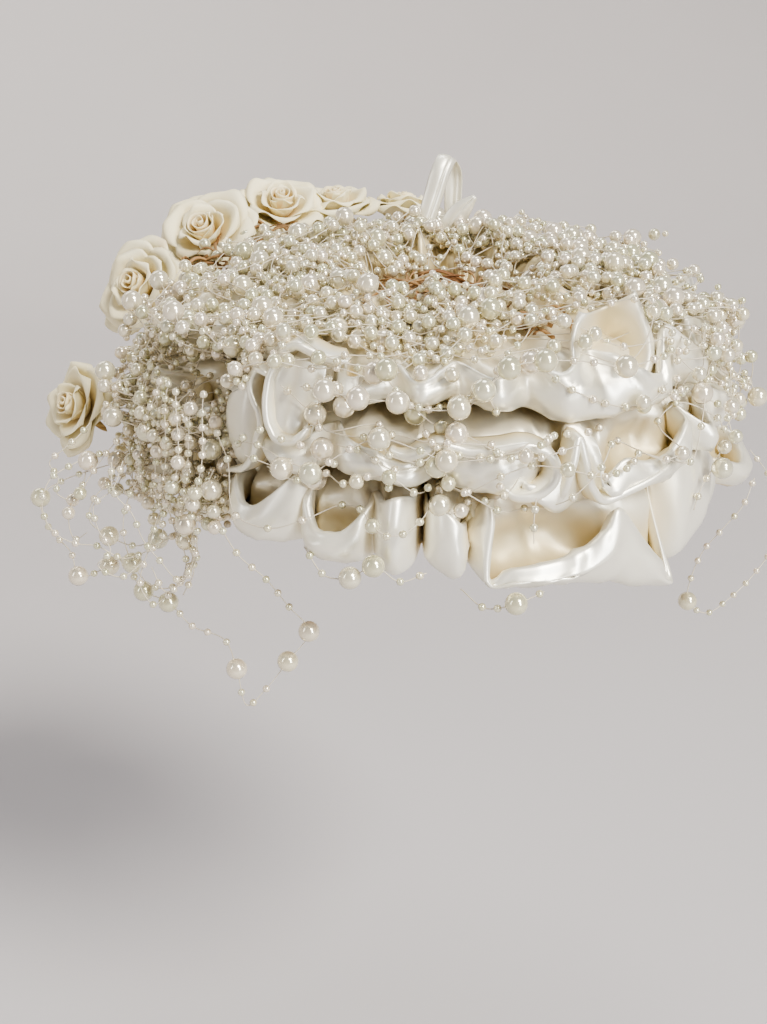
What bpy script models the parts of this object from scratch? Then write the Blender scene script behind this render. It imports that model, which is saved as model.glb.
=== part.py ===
"""Bridal fascinator: a straw cap under three gathered satin tiers, paper roses and pearl garland.

Sizes are in millimetres and degrees, and the finished objects in metres, +Z up, the front towards -Y.
The origin is the inside top of the cap, where the crown of the head sits.
The cap, tiers and bundles are laid out on a level hat, which is then tipped forward as it is worn;
roses and hanging strings are placed straight in the worn position.
"""

import math
from collections import namedtuple
from itertools import product

import bpy
import numpy as np
from mathutils import Vector
from mathutils.bvhtree import BVHTree

MM = 0.001
SHARP_ANGLE = 40.0
FORWARD_TILT = 7.0
SEAT_GAP = 0.4
# A rope is tested at these shares of each of its segments, and drawn in from this far at most.
TEST_SHARES = (0.0, 0.25, 0.5, 0.75, 1.0)
DRAW_REACH = 15.0
ROPE_DRAW = 0.25

# The straw cap: half of an oval ball over the crown of the head, with a narrow flat brim.
HEAD_HALF_WIDTH = 72.0
HEAD_HALF_DEPTH = 78.0
HEAD_HEIGHT = 58.0
STRAW_WALL = 2.5
BRIM_RADIUS = 92.0
CAP_SIDES = 26
CAP_RINGS = 4

# Each satin tier runs from the cap out to its hem and turns up there into a lip.
# Azimuth is 0 at the front and grows towards +X; the rows go round the part that shows.
Fold = namedtuple("Fold", "azimuth hem_radius hem_height lip_radius lip_height")
# The hidden back of a tier swings evenly between these values.
Back = namedtuple("Back", "waves crest valley hem_height lip_height")
Tier = namedtuple("Tier", "name root_height belly_height folds back")

SATIN_WALL = 1.5
BELLY_SHARE = 0.60
FALL_SHARE = 0.87
WIDEST_STEP = 9.0

LOWER_FOLDS = (
    Fold(-62, 105, -69, 107, -58),
    Fold(-54, 95, -64, 94, -48),
    Fold(-48, 106, -60, 107, -46),
    Fold(-42, 111, -61, 113, -54),
    Fold(-37, 110, -59, 109, -46),
    Fold(-29, 102, -57, 101, -39),
    Fold(-22, 111, -60, 113, -53),
    Fold(-16, 102, -59, 101, -44),
    Fold(-8, 112, -61, 111, -40),
    Fold(-1, 100, -61, 99, -44),
    Fold(3, 110, -61, 111, -46),
    Fold(5.5, 98, -60, 97, -49),
    Fold(8, 113, -63, 115, -58),
    Fold(17, 114, -65, 118, -56),
    Fold(26, 114, -68, 118, -52),
    Fold(31, 113, -70, 116, -43),
    Fold(42, 117, -77, 120, -71),
    Fold(46, 100, -70, 99, -54),
    Fold(53, 108, -73, 109, -48),
    Fold(62, 111, -73, 112, -48),
    Fold(69, 109, -67, 108, -47),
    Fold(76, 100, -62, 99, -48),
    Fold(84, 121, -70, 124, -61),
    Fold(94, 123, -71, 125, -57),
)
MIDDLE_FOLDS = (
    Fold(-62, 100, -38, 102, -23),
    Fold(-53, 91, -34, 90, -20),
    Fold(-47, 100, -35, 101, -15),
    Fold(-42, 104, -34, 103, -6),
    Fold(-38, 96, -31, 95, -13),
    Fold(-34, 105, -32, 107, -20),
    Fold(-29, 106, -30, 107, -18),
    Fold(-24, 98, -28, 97, -14),
    Fold(-19, 106, -28, 107, -15),
    Fold(-12, 107, -28, 109, -19),
    Fold(-7, 107, -30, 108, -21),
    Fold(-2, 98, -29, 97, -14),
    Fold(3, 105, -31, 106, -14),
    Fold(10, 107, -33, 109, -18),
    Fold(14, 101, -35, 101, -21),
    Fold(18, 109, -40, 111, -30),
    Fold(23, 106, -41, 106, -19),
    Fold(29, 105, -40, 107, -19),
    Fold(37, 110, -38, 113, -29),
    Fold(45, 111, -38, 113, -27),
    Fold(51, 104, -36, 103, -22),
    Fold(57, 114, -34, 116, -24),
    Fold(65, 113, -30, 115, -18),
    Fold(73, 100, -32, 99, -18),
    Fold(82, 113, -37, 115, -24),
)
CROWN_FOLDS = (
    Fold(-60, 94, 0, 96, 8),
    Fold(-50, 84, 0, 83, 7),
    Fold(-42, 92, 3, 93, 11),
    Fold(-34, 95, 0, 96, 9),
    Fold(-26, 86, -3, 85, 7),
    Fold(-20, 96, -6, 98, 3),
    Fold(-12, 90, -5, 89, 6),
    Fold(-5, 97, -5, 99, 3),
    Fold(1, 89, -4, 88, 7),
    Fold(10, 98, -6, 100, 5),
    Fold(16, 92, -8, 91, 8),
    Fold(22, 101, -11, 103, 1),
    Fold(31, 102, -12, 104, 0),
    Fold(39, 95, -10, 93, 10),
    Fold(44, 103, -12, 105, -2),
    Fold(52, 96, -10, 94, 12),
    Fold(59, 105, -11, 107, 2),
    Fold(68, 96, -8, 95, 9),
    Fold(78, 103, -10, 105, 3),
)
TIERS = (
    Tier("lower_ruffle", -36.0, -36.0, LOWER_FOLDS, Back(6, 112, 100, -66, -50)),
    Tier("middle_ruffle", -14.0, -13.0, MIDDLE_FOLDS, Back(7, 109, 97, -32, -15)),
    Tier("crown_ruffle", -3.0, 4.0, CROWN_FOLDS, Back(7, 101, 89, -10, 5)),
)

# The satin loop stands on the back of the crown ruffle: a tall leaf that turns over and comes down
# behind, is pinched at its foot and ends in a short flap. Its heights are from the foot.
Ribbon = namedtuple("Ribbon", "x y height across_x across_y across_z half_width")
LOOP_ROUTE = (
    Ribbon(-7, 55, 0, 0.97, 0.10, -0.20, 3.5),
    Ribbon(-4, 53, 14, 0.96, 0.10, -0.25, 4.5),
    Ribbon(1, 54, 30, 0.96, 0.10, -0.30, 5.0),
    Ribbon(5, 58, 40, 0.96, 0.10, -0.30, 5.0),
    Ribbon(6, 64, 41, 0.96, 0.10, -0.30, 5.0),
    Ribbon(4, 68, 32, 0.96, 0.10, -0.25, 5.0),
    Ribbon(0, 68, 14, 0.96, 0.10, -0.15, 4.0),
    Ribbon(0, 64, 4, 0.90, 0.30, 0.20, 2.5),
    Ribbon(6, 60, 10, 0.10, 0.30, 0.95, 3.0),
    Ribbon(13, 58, 21, -0.40, 0.20, 0.90, 4.0),
    Ribbon(18, 58, 27, -0.45, 0.20, 0.88, 3.0),
)
LOOP_STEPS = 16

# Roses: the middle of the flower, the way it looks, and its outer radius.
Rose = namedtuple("Rose", "middle facing radius stem_foot")
ROSES = (
    Rose((-150, 0, -39), (-0.80, -0.45, 0.40), 16.0, (-108, 6, -44)),
    Rose((-126, 40, 3), (-0.55, -0.72, 0.42), 18.5, (-98, 38, -8)),
    Rose((-101, 70, 22), (-0.25, -0.70, 0.67), 20.0, (-78, 60, 10)),
    Rose((-69, 95, 31), (0.08, -0.50, 0.86), 18.5, (-54, 78, 14)),
    Rose((-45, 109, 31), (-0.10, -0.20, 0.97), 16.0, (-44, 98, 18)),
    Rose((-13, 121, 28), (0.10, 0.15, 0.98), 15.0, (-14, 104, 12)),
)
ROSE_TURNS = 2.6
ROSE_STEPS = 24
ROSE_PAPER = 1.1
ROSE_HEART_RADIUS = 2.6
ROSE_FOOT_RADII = (1.6, 6.5)
ROSE_HEIGHT_SHARE = 0.80
ROSE_LOBES_PER_TURN = 2.5
STEM_RADIUS = 1.2
STEM_POINTS = 9
STEM_LANDING = 3.0
# The calyx under the flower: its radius at these distances along the stem.
CALYX_DISTANCES = (0.0, 3.0, 10.0)
CALYX_RADII = (1.8, 3.6, STEM_RADIUS)

# Pearl bundles on the level hat: the ropes of garland that lie thick on the satin.
Bundle = namedtuple("Bundle", "name radius route")
Rest = namedtuple("Rest", "azimuth radius height")
BUNDLE_POINTS = 18
BUNDLE_LUMP = 0.12
BUNDLE_LUMPS = 7
BUNDLES = (
    Bundle("pearl_bundle_left_low", 9.0, (
        Rest(-50, 117, -54), Rest(-66, 121, -57), Rest(-82, 122, -60), Rest(-100, 121, -60),
        Rest(-116, 120, -57), Rest(-130, 120, -55))),
    Bundle("pearl_bundle_left_middle", 9.5, (
        Rest(-43, 116, -22), Rest(-56, 114, -26), Rest(-72, 119, -27), Rest(-88, 119, -26),
        Rest(-104, 119, -32), Rest(-124, 117, -34))),
    Bundle("pearl_bundle_left_top", 8.5, (
        Rest(-34, 107, 2), Rest(-48, 104, 1), Rest(-64, 108, 0), Rest(-80, 109, 0), Rest(-94, 106, 3))),
    Bundle("pearl_bundle_crown", 7.5, (
        Rest(-12, 58, 12), Rest(-40, 62, 13), Rest(-70, 62, 13), Rest(-100, 61, 13),
        Rest(-130, 60, 13), Rest(-158, 58, 13))),
    Bundle("pearl_bundle_back", 7.0, (
        Rest(-84, 84, 14), Rest(-110, 83, 13), Rest(-140, 83, 13), Rest(-170, 83, 13),
        Rest(-200, 83, 13), Rest(-230, 84, 13), Rest(-260, 86, 14), Rest(-290, 86, 14))),
    Bundle("pearl_bundle_right", 8.0, (
        Rest(64, 92, 16), Rest(74, 104, 12), Rest(84, 116, -4), Rest(92, 126, -22), Rest(97, 130, -42))),
)

# Single strings in the worn position; a pearl of 8 mm sits at each point marked True.
String = namedtuple("String", "name route")
Point = namedtuple("Point", "x y z pearl")
THREAD_RADIUS = 0.5
PEARL_RADIUS = 4.0
PEARL_SIDES = 10
PEARL_RING_ANGLES = (45, 90, 135)
THREAD_STEP = 12.0
LINE_POINTS_PER_STOP = 10
STRINGS = (
    String("pearl_string_left_long", (
        Point(-80, -86, -62, False), Point(-74, -87, -72, False), Point(-65, -84, -82, False),
        Point(-57, -79, -95, False), Point(-50, -76, -106, True), Point(-58, -76, -118, True),
        Point(-67, -76, -130, False), Point(-73, -76, -136, False), Point(-77, -76, -121, True),
        Point(-82, -66, -114, False), Point(-96, -58, -111, False), Point(-105, -52, -104, True),
        Point(-115, -48, -101, True), Point(-124, -40, -91, False), Point(-130, -36, -95, True),
        Point(-143, -34, -100, True), Point(-146, -30, -92, False), Point(-155, -26, -83, False),
        Point(-159, -20, -72, True), Point(-152, -10, -68, False), Point(-142, -2, -66, False),
        Point(-131, 4, -64, False))),
    String("pearl_string_left_short", (
        Point(-127, -30, -62, False), Point(-134, -33, -67, False), Point(-137, -34, -77, False),
        Point(-129, -38, -82, True), Point(-118, -44, -84, False), Point(-108, -50, -79, True),
        Point(-96, -60, -76, True), Point(-93, -63, -86, False), Point(-98, -60, -98, False))),
    String("pearl_string_right", (
        Point(129, -3, -69, False), Point(124, -8, -79, False), Point(116, -9, -89, False),
        Point(109, -8, -99, False), Point(105, -8, -110, False), Point(104, -8, -121, True),
        Point(113, -4, -128, False), Point(124, 4, -125, False), Point(136, 12, -117, False),
        Point(146, 18, -104, False), Point(147, 20, -88, False), Point(140, 18, -73, False),
        Point(131, 15, -62, False))),
    String("pearl_string_brim", (
        Point(-50, -96, -66, False), Point(-42, -104, -74, False), Point(-34, -108, -73, True),
        Point(-26, -110, -68, True), Point(-17, -109, -74, False), Point(-8, -106, -72, False))),
    String("pearl_string_boat", (
        Point(32, -108, -78, False), Point(22, -114, -80, True), Point(12, -108, -84, False),
        Point(4, -100, -80, False))),
    String("pearl_string_front_high", (
        Point(-50, -98, -9, False), Point(-42, -104, -9, True), Point(-31, -107, -11, True),
        Point(-18, -108, -12, True), Point(-6, -107, -15, False), Point(2, -108, -14, True),
        Point(10, -108, -8, True), Point(18, -107, -1, True), Point(30, -105, 1, True),
        Point(43, -101, 0, False), Point(58, -95, -3, True), Point(70, -86, -2, False),
        Point(77, -78, -2, False))),
    String("pearl_string_front_low", (
        Point(-70, -93, -34, False), Point(-57, -99, -37, True), Point(-47, -105, -37, True),
        Point(-37, -107, -30, False), Point(-24, -109, -24, True), Point(-12, -111, -27, False),
        Point(-2, -111, -31, True), Point(12, -112, -30, False), Point(28, -111, -30, False),
        Point(42, -106, -27, False))),
)

COLOURS = {
    "straw": (0.42, 0.27, 0.13),
    "satin": (0.86, 0.80, 0.68),
    "paper": (0.84, 0.76, 0.62),
    "stem": (0.45, 0.32, 0.15),
    "pearl": (0.85, 0.82, 0.76),
}
ROUGHNESS = {"straw": 0.8, "satin": 0.3, "paper": 0.85, "stem": 0.8, "pearl": 0.2}


def material(name):
    """One plain finish by name, made on first use."""
    found = bpy.data.materials.get(name)
    if found:
        return found
    made = bpy.data.materials.new(name)
    made.use_nodes = True
    shader = made.node_tree.nodes["Principled BSDF"]
    shader.inputs["Base Color"].default_value = (*COLOURS[name], 1.0)
    shader.inputs["Roughness"].default_value = ROUGHNESS[name]
    shader.inputs["Metallic"].default_value = 0.0
    return made


def level(azimuth, radius, height):
    """Points of the level hat: x = r sin a, y = -r cos a, z = height."""
    angle = np.radians(azimuth)
    return np.stack(np.broadcast_arrays(radius * np.sin(angle), -radius * np.cos(angle), height), axis=-1)


def worn(points):
    """Turns level points about the X axis by the forward tilt."""
    tilt = math.radians(FORWARD_TILT)
    x, y, z = np.moveaxis(np.asarray(points, float), -1, 0)
    return np.stack((x, y * math.cos(tilt) - z * math.sin(tilt), y * math.sin(tilt) + z * math.cos(tilt)),
                    axis=-1)


def put(obj, finish):
    obj.data.materials.append(material(finish))
    bpy.context.collection.objects.link(obj)
    return obj


def mesh_object(name, finish, points, faces):
    """A mesh object from millimetre points, shaded smooth except at sharp edges."""
    mesh = bpy.data.meshes.new(name)
    mesh.from_pydata((np.reshape(points, (-1, 3)) * MM).tolist(), [], faces)
    mesh.validate()
    mesh.shade_smooth()
    mesh.set_sharp_from_angle(angle=math.radians(SHARP_ANGLE))
    return put(bpy.data.objects.new(name, mesh), finish)


def thicken(obj, wall, offset=0.0):
    """Gives a sheet its wall; offset 0 puts the sheet in the middle of it and 1 on its inside."""
    solidify = obj.modifiers.new("wall", "SOLIDIFY")
    solidify.thickness = wall * MM
    solidify.offset = offset
    solidify.use_even_offset = offset != 0.0
    return obj


def grid_faces(rows, columns, closed):
    """Quads between neighbouring rows of points, round again to the first column if closed."""
    last = columns if closed else columns - 1
    return [(r * columns + c, r * columns + (c + 1) % columns,
             (r + 1) * columns + (c + 1) % columns, (r + 1) * columns + c)
            for r in range(rows - 1) for c in range(last)]


def distances_along(points):
    return np.concatenate(([0.0], np.cumsum(np.linalg.norm(np.diff(points, axis=0), axis=1))))


def smooth_path(points, count):
    """Evenly spaced points along the Catmull-Rom curve through the given ones."""
    points = np.asarray(points, float)
    ends = np.concatenate(([2 * points[0] - points[1]], points, [2 * points[-1] - points[-2]]))
    t = np.linspace(0.0, 1.0, 12, endpoint=False)[:, None]
    pieces = []
    for p0, p1, p2, p3 in zip(ends, ends[1:], ends[2:], ends[3:]):
        pieces.append(0.5 * (2 * p1 + (p2 - p0) * t + (2 * p0 - 5 * p1 + 4 * p2 - p3) * t ** 2
                             + (3 * p1 - p0 - 3 * p2 + p3) * t ** 3))
    dense = np.concatenate(pieces + [points[-1:]])
    along = distances_along(dense)
    return np.stack([np.interp(np.linspace(0.0, along[-1], count), along, dense[:, k])
                     for k in range(dense.shape[1])], axis=-1)


class Built:
    """The solids made so far, to lay a rope on them or to seat an end against them."""

    def __init__(self):
        self.trees = []

    def add(self, obj):
        evaluated = obj.evaluated_get(bpy.context.evaluated_depsgraph_get())
        mesh = evaluated.to_mesh()
        points = [vertex.co / MM for vertex in mesh.vertices]
        self.trees.append(BVHTree.FromPolygons(points, [tuple(p.vertices) for p in mesh.polygons]))
        evaluated.to_mesh_clear()

    def nearest(self, point, reach=1000.0):
        """The closest spot on any solid, and the distance to it."""
        hits = [tree.find_nearest(Vector(point), reach) for tree in self.trees]
        hits = [(distance, spot) for spot, normal, face, distance in hits if spot is not None]
        if not hits:
            return None, reach
        distance, spot = min(hits, key=lambda hit: hit[0])
        return np.array(spot), distance

    def top_at(self, x, y, from_height=100.0):
        """Height of the first solid met straight below a point."""
        drops = [tree.ray_cast(Vector((x, y, from_height)), Vector((0, 0, -1)))[3] for tree in self.trees]
        return from_height - min(drop for drop in drops if drop is not None)

    def clear(self, points, radii, pull, rounds=60):
        """Pushes each point of a rope out of the solids until its radius and the gap fit.

        Where pull is above 0, points that lie too far off are first drawn in by that share.
        A push is spread over the neighbours, so the rope stays smooth.
        """
        points = np.array(points)
        wanted = np.array(np.broadcast_to(np.asarray(radii, float) + SEAT_GAP, len(points)))
        for turn in range(rounds):
            moves = np.zeros_like(points)
            for i, share in product(range(len(points) - 1), TEST_SHARES):
                point = points[i] + share * (points[i + 1] - points[i])
                need = wanted[i] + share * (wanted[i + 1] - wanted[i])
                spot, distance = self.nearest(point, need + DRAW_REACH)
                if spot is None or distance < 1e-6:
                    continue
                short = need - distance
                if short > 0 or turn < rounds // 3:
                    step = (point - spot) / distance * short * (1.05 if short > 0 else pull)
                    for end in {i + math.floor(share + 0.5), i + math.ceil(share - 0.5)}:
                        if step @ step > moves[end] @ moves[end]:
                            moves[end] = step
            if not moves.any():
                break
            spread = moves.copy()
            spread[1:-1] = (moves[:-2] + 2 * moves[1:-1] + moves[2:]) / 4
            points += moves if np.abs(moves).max() < 0.3 else spread
        return points

    def seat(self, point, radius):
        """The point moved to lie its radius and the gap away from the closest solid."""
        spot, distance = self.nearest(point)
        return spot + (np.asarray(point, float) - spot) / distance * (radius + SEAT_GAP)


def oval_radius(azimuth, half_width, half_depth):
    """Polar radius of the oval, 1 / sqrt((sin a / w)^2 + (cos a / d)^2)."""
    angle = np.radians(azimuth)
    return 1.0 / np.sqrt((np.sin(angle) / half_width) ** 2 + (np.cos(angle) / half_depth) ** 2)


def straw_base():
    """The inner skin of the cap turned round from its top to the brim, then given its wall."""
    azimuths = np.arange(CAP_SIDES) * 360.0 / CAP_SIDES
    oval = oval_radius(azimuths, HEAD_HALF_WIDTH, HEAD_HALF_DEPTH)
    rings = []
    for ring in range(1, CAP_RINGS + 1):
        angle = math.radians(90.0 * ring / CAP_RINGS)
        rings.append(level(azimuths, oval * math.sin(angle), HEAD_HEIGHT * (math.cos(angle) - 1.0)))
    rings.append(level(azimuths, BRIM_RADIUS, -HEAD_HEIGHT))
    points = np.concatenate([[(0.0, 0.0, 0.0)]] + rings)
    faces = [(0, 1 + c, 1 + (c + 1) % CAP_SIDES) for c in range(CAP_SIDES)]
    faces += [tuple(1 + corner for corner in reversed(face))
              for face in grid_faces(CAP_RINGS + 1, CAP_SIDES, True)]
    return thicken(mesh_object("straw_base", "straw", worn(points), faces), STRAW_WALL, 1.0)


def tier_folds(tier):
    """The traced folds, then evenly spaced crests and valleys round the hidden back."""
    first, last, back = tier.folds[0], tier.folds[-1], tier.back
    step = (360.0 + first.azimuth - last.azimuth) / (2 * back.waves)
    hidden = []
    for i in range(1, 2 * back.waves):
        radius = back.valley if i % 2 else back.crest
        hidden.append(Fold(last.azimuth + i * step, radius, back.hem_height, radius + 1, back.lip_height))
    return np.array(list(tier.folds) + hidden, float)


def rounded_between(azimuths, values, wanted):
    """Reads values between folds along an S curve, level at each crest and valley."""
    before = np.searchsorted(azimuths, wanted, side="right") - 1
    after = (before + 1) % len(azimuths)
    span = (azimuths[after] - azimuths[before]) % 360.0
    share = (wanted - azimuths[before]) / span
    ease = (0.5 - 0.5 * np.cos(np.pi * share))[:, None]
    return values[before] * (1 - ease) + values[after] * ease


def tier_azimuths(azimuths):
    """The folds' own azimuths, with even steps between those that are far apart."""
    wanted = []
    for here, there in zip(azimuths, np.append(azimuths[1:], azimuths[0] + 360.0)):
        steps = math.ceil((there - here) / WIDEST_STEP)
        wanted.extend(here + (there - here) * np.arange(steps) / steps)
    return np.array(wanted)


def root_on_cap(azimuth, height):
    """Radius and height of a tier's root, clear of the cap's outside by the gap."""
    half_width, half_depth = HEAD_HALF_WIDTH + STRAW_WALL, HEAD_HALF_DEPTH + STRAW_WALL
    half_height = HEAD_HEIGHT + STRAW_WALL
    up = (height + HEAD_HEIGHT) / half_height
    radius = oval_radius(azimuth, half_width, half_depth) * math.sqrt(1.0 - up * up)
    slope_out = radius / (half_width * half_depth)
    slope_up = up / half_height
    length = np.hypot(slope_out, slope_up)
    clear = SEAT_GAP + 0.5 * SATIN_WALL * slope_up / length
    return radius + clear * slope_out / length, height + clear * slope_up / length


def ruffle(tier):
    """Root, belly, fall, hem and lip of the tier as rings of one sheet, given the satin's wall."""
    folds = tier_folds(tier)
    azimuths = tier_azimuths(folds[:, 0])
    hem_radius, hem_height, lip_radius, lip_height = rounded_between(folds[:, 0], folds[:, 1:], azimuths).T
    root_radius, root_height = root_on_cap(azimuths, tier.root_height)
    out = hem_radius - root_radius
    down = hem_height - tier.belly_height
    rings = (
        level(azimuths, root_radius, root_height),
        level(azimuths, root_radius + BELLY_SHARE * out, tier.belly_height),
        level(azimuths, root_radius + FALL_SHARE * out, tier.belly_height + 0.45 * down),
        level(azimuths, hem_radius, hem_height),
        level(azimuths, lip_radius, lip_height),
    )
    faces = grid_faces(len(rings), len(azimuths), True)
    return thicken(mesh_object(tier.name, "satin", worn(np.stack(rings)), faces), SATIN_WALL)


def satin_loop(built):
    """A ribbon carried along the loop's route, its first end resting on the crown ruffle."""
    route = smooth_path(LOOP_ROUTE, LOOP_STEPS)
    middle, across, half_width = route[:, :3], route[:, 3:6], route[:, 6:]
    across /= np.linalg.norm(across, axis=1)[:, None]
    rows = np.stack([middle - across * half_width, middle + across * half_width])
    rests_at = max(built.top_at(*corner[:2]) - corner[2] for corner in rows[:, 0])
    rows[:, :, 2] += rests_at + SEAT_GAP
    faces = grid_faces(2, LOOP_STEPS, False)
    return thicken(mesh_object("satin_loop", "satin", rows, faces), SATIN_WALL)


def unit(vector):
    vector = np.asarray(vector, float)
    return vector / np.linalg.norm(vector)


def rose(number, row):
    """A long petal strip rolled into an opening spiral about the facing direction."""
    facing = unit(row.facing)
    side = unit(np.cross(facing, (0.0, 0.0, 1.0)) + (1e-3, 0.0, 0.0))
    across = np.cross(facing, side)
    share = np.linspace(0.0, 1.0, ROSE_STEPS + 1)
    turn = 2 * np.pi * ROSE_TURNS * share
    height = row.radius * ROSE_HEIGHT_SHARE
    foot = np.asarray(row.middle, float) - facing * height / 2
    lobe = np.cos(ROSE_LOBES_PER_TURN * turn)
    rim = ROSE_HEART_RADIUS + share * (row.radius - 1.0 - ROSE_HEART_RADIUS) + share * lobe
    base = np.interp(share, (0.0, 1.0), ROSE_FOOT_RADII)
    waist = base + 0.55 * (rim - base)
    rows = ((base, 0.0 * share), (waist, height * (0.55 - 0.15 * share)),
            (rim, height * (1.0 - 0.38 * share + 0.07 * lobe)))
    points = [foot + np.outer(np.cos(turn) * radius, side) + np.outer(np.sin(turn) * radius, across)
              + np.outer(rise, facing) for radius, rise in rows]
    faces = grid_faces(3, ROSE_STEPS + 1, False)
    return thicken(mesh_object(f"rose_{number}", "paper", np.stack(points), faces), ROSE_PAPER)


def tube(name, finish, points, radii):
    """A round rope or wire along the points, one radius for each, with flat ends."""
    curve = bpy.data.curves.new(name, "CURVE")
    curve.dimensions = "3D"
    curve.bevel_depth = MM
    curve.bevel_resolution = 2
    curve.use_fill_caps = True
    spline = curve.splines.new("POLY")
    spline.points.add(len(points) - 1)
    for spot, point, radius in zip(spline.points, points, np.broadcast_to(radii, len(points))):
        spot.co = (*(np.asarray(point) * MM), 1.0)
        spot.radius = radius
    return put(bpy.data.objects.new(name, curve), finish)


def rose_stem(number, row, built):
    """A calyx under the flower that narrows to a wire, which meets the satin square on."""
    facing = unit(row.facing)
    height = row.radius * ROSE_HEIGHT_SHARE
    top = np.asarray(row.middle, float) - facing * (height / 2 + SEAT_GAP + 0.6 * ROSE_PAPER)
    foot = built.seat(row.stem_foot, 0.0)
    above_foot = built.seat(row.stem_foot, STEM_LANDING)
    points = smooth_path((top, top - 0.8 * CALYX_DISTANCES[-1] * facing, above_foot, foot), STEM_POINTS)
    radii = np.interp(distances_along(points), CALYX_DISTANCES, CALYX_RADII)
    points[2:-1] = built.clear(points[2:-1], radii[2:-1], 0.0)
    return tube(f"rose_stem_{number}", "stem", points, radii)


def pearl_bundle(row, built):
    """A thick rope of garland laid over the satin, thinner towards its two ends."""
    route = np.array(row.route, float)
    points = worn(level(*smooth_path(route, BUNDLE_POINTS).T))
    share = np.linspace(0.0, 1.0, BUNDLE_POINTS)
    radii = row.radius * (0.55 + 0.45 * np.sin(np.pi * share) ** 0.5)
    radii *= 1.0 + BUNDLE_LUMP * np.sin(2 * np.pi * BUNDLE_LUMPS * share)
    return tube(row.name, "pearl", built.clear(points, radii, ROPE_DRAW), radii)


def pearl_string(row, built):
    """A thread with pearls as one turned skin: rings along the route, swelling into each pearl.

    The skin's radius is sqrt(R^2 - d^2) at a distance d from a pearl's centre, and the thread's elsewhere.
    """
    route = np.array([point[:3] for point in row.route], float)
    pearls = np.array([point.pearl for point in row.route])
    route[0] = built.seat(route[0], THREAD_RADIUS)
    route[-1] = built.seat(route[-1], THREAD_RADIUS)
    line = smooth_path(route, LINE_POINTS_PER_STOP * len(route))
    along = distances_along(line)
    centres = np.array([along[np.argmin(np.linalg.norm(line - spot, axis=1))] for spot in route[pearls]])
    nearest_pearl = np.abs(along[:, None] - centres).min(axis=1)
    swollen = np.sqrt(np.maximum(PEARL_RADIUS ** 2 - nearest_pearl ** 2, THREAD_RADIUS ** 2))
    line[1:-1] = built.clear(line, swollen, 0.0)[1:-1]
    centres *= distances_along(line)[-1] / along[-1]
    along = distances_along(line)

    def at(distance):
        return np.array([np.interp(distance, along, line[:, k]) for k in range(3)])

    edge = math.sqrt(PEARL_RADIUS ** 2 - THREAD_RADIUS ** 2)
    swell = [(-edge, THREAD_RADIUS)]
    swell += [(-PEARL_RADIUS * math.cos(math.radians(a)), PEARL_RADIUS * math.sin(math.radians(a)))
              for a in PEARL_RING_ANGLES]
    swell += [(edge, THREAD_RADIUS)]
    stretch_starts = np.concatenate(([0.0], centres + edge))
    stretch_ends = np.concatenate((centres - edge, [along[-1]]))
    rings = []
    for index, (start, stop) in enumerate(zip(stretch_starts, stretch_ends)):
        steps = max(1, math.ceil((stop - start) / THREAD_STEP))
        first = 0 if index == 0 else 1
        last = steps if index < len(centres) else steps + 1
        rings += [(at(start + (stop - start) * i / steps), THREAD_RADIUS) for i in range(first, last)]
        if index < len(centres):
            middle = at(centres[index])
            axis = unit(at(centres[index] + 2.0) - at(centres[index] - 2.0))
            rings += [(middle + axis * offset, radius) for offset, radius in swell]
    radius = np.array([ring[1] for ring in rings])
    centre_line = built.clear([ring[0] for ring in rings], radius, 0.0)
    return turned_skin(row.name, "pearl", centre_line, radius, PEARL_SIDES)


def turned_skin(name, finish, centre_line, radius, sides):
    """Rings square to the line, each turned from the last one without twist, closed at both ends."""
    tangents = np.gradient(centre_line, axis=0)
    tangents /= np.linalg.norm(tangents, axis=1)[:, None]
    normal = unit(np.cross(tangents[0], (0.31, 0.42, 0.85)))
    angles = 2 * np.pi * np.arange(sides) / sides
    rings = []
    for centre, tangent, r in zip(centre_line, tangents, radius):
        normal = unit(normal - tangent * np.dot(normal, tangent))
        across = np.cross(tangent, normal)
        rings.append(centre + r * (np.outer(np.cos(angles), normal) + np.outer(np.sin(angles), across)))
    count = len(rings)
    faces = grid_faces(count, sides, True)
    faces.append(tuple(reversed(range(sides))))
    faces.append(tuple((count - 1) * sides + c for c in range(sides)))
    return mesh_object(name, finish, np.stack(rings), faces)


def main():
    for obj in list(bpy.data.objects):
        bpy.data.objects.remove(obj)
    built = Built()
    built.add(straw_base())
    for tier in TIERS:
        built.add(ruffle(tier))
    built.add(satin_loop(built))
    for number, row in enumerate(ROSES, start=1):
        built.add(rose(number, row))
    for number, row in enumerate(ROSES, start=1):
        built.add(rose_stem(number, row, built))
    for row in BUNDLES:
        built.add(pearl_bundle(row, built))
    for row in STRINGS:
        built.add(pearl_string(row, built))


main()
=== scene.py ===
import math

import bpy
import numpy as np
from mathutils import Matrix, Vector


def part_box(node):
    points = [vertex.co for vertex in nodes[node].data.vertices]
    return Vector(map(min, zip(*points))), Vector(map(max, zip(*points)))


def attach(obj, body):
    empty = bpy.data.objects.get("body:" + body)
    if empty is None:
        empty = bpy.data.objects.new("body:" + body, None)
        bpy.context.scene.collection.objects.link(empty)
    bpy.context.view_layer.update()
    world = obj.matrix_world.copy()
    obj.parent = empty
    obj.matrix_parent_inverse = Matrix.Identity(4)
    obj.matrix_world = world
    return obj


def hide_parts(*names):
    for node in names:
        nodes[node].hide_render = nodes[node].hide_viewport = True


# Bridal fascinator: gathered ivory satin on a straw cap, paper roses and loose pearl garland.
# Shapes are worked out in millimetres on a level hat, tipped forward as it is worn, and put down in metres.
# Azimuth is 0 at the front and grows towards +X.

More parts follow.
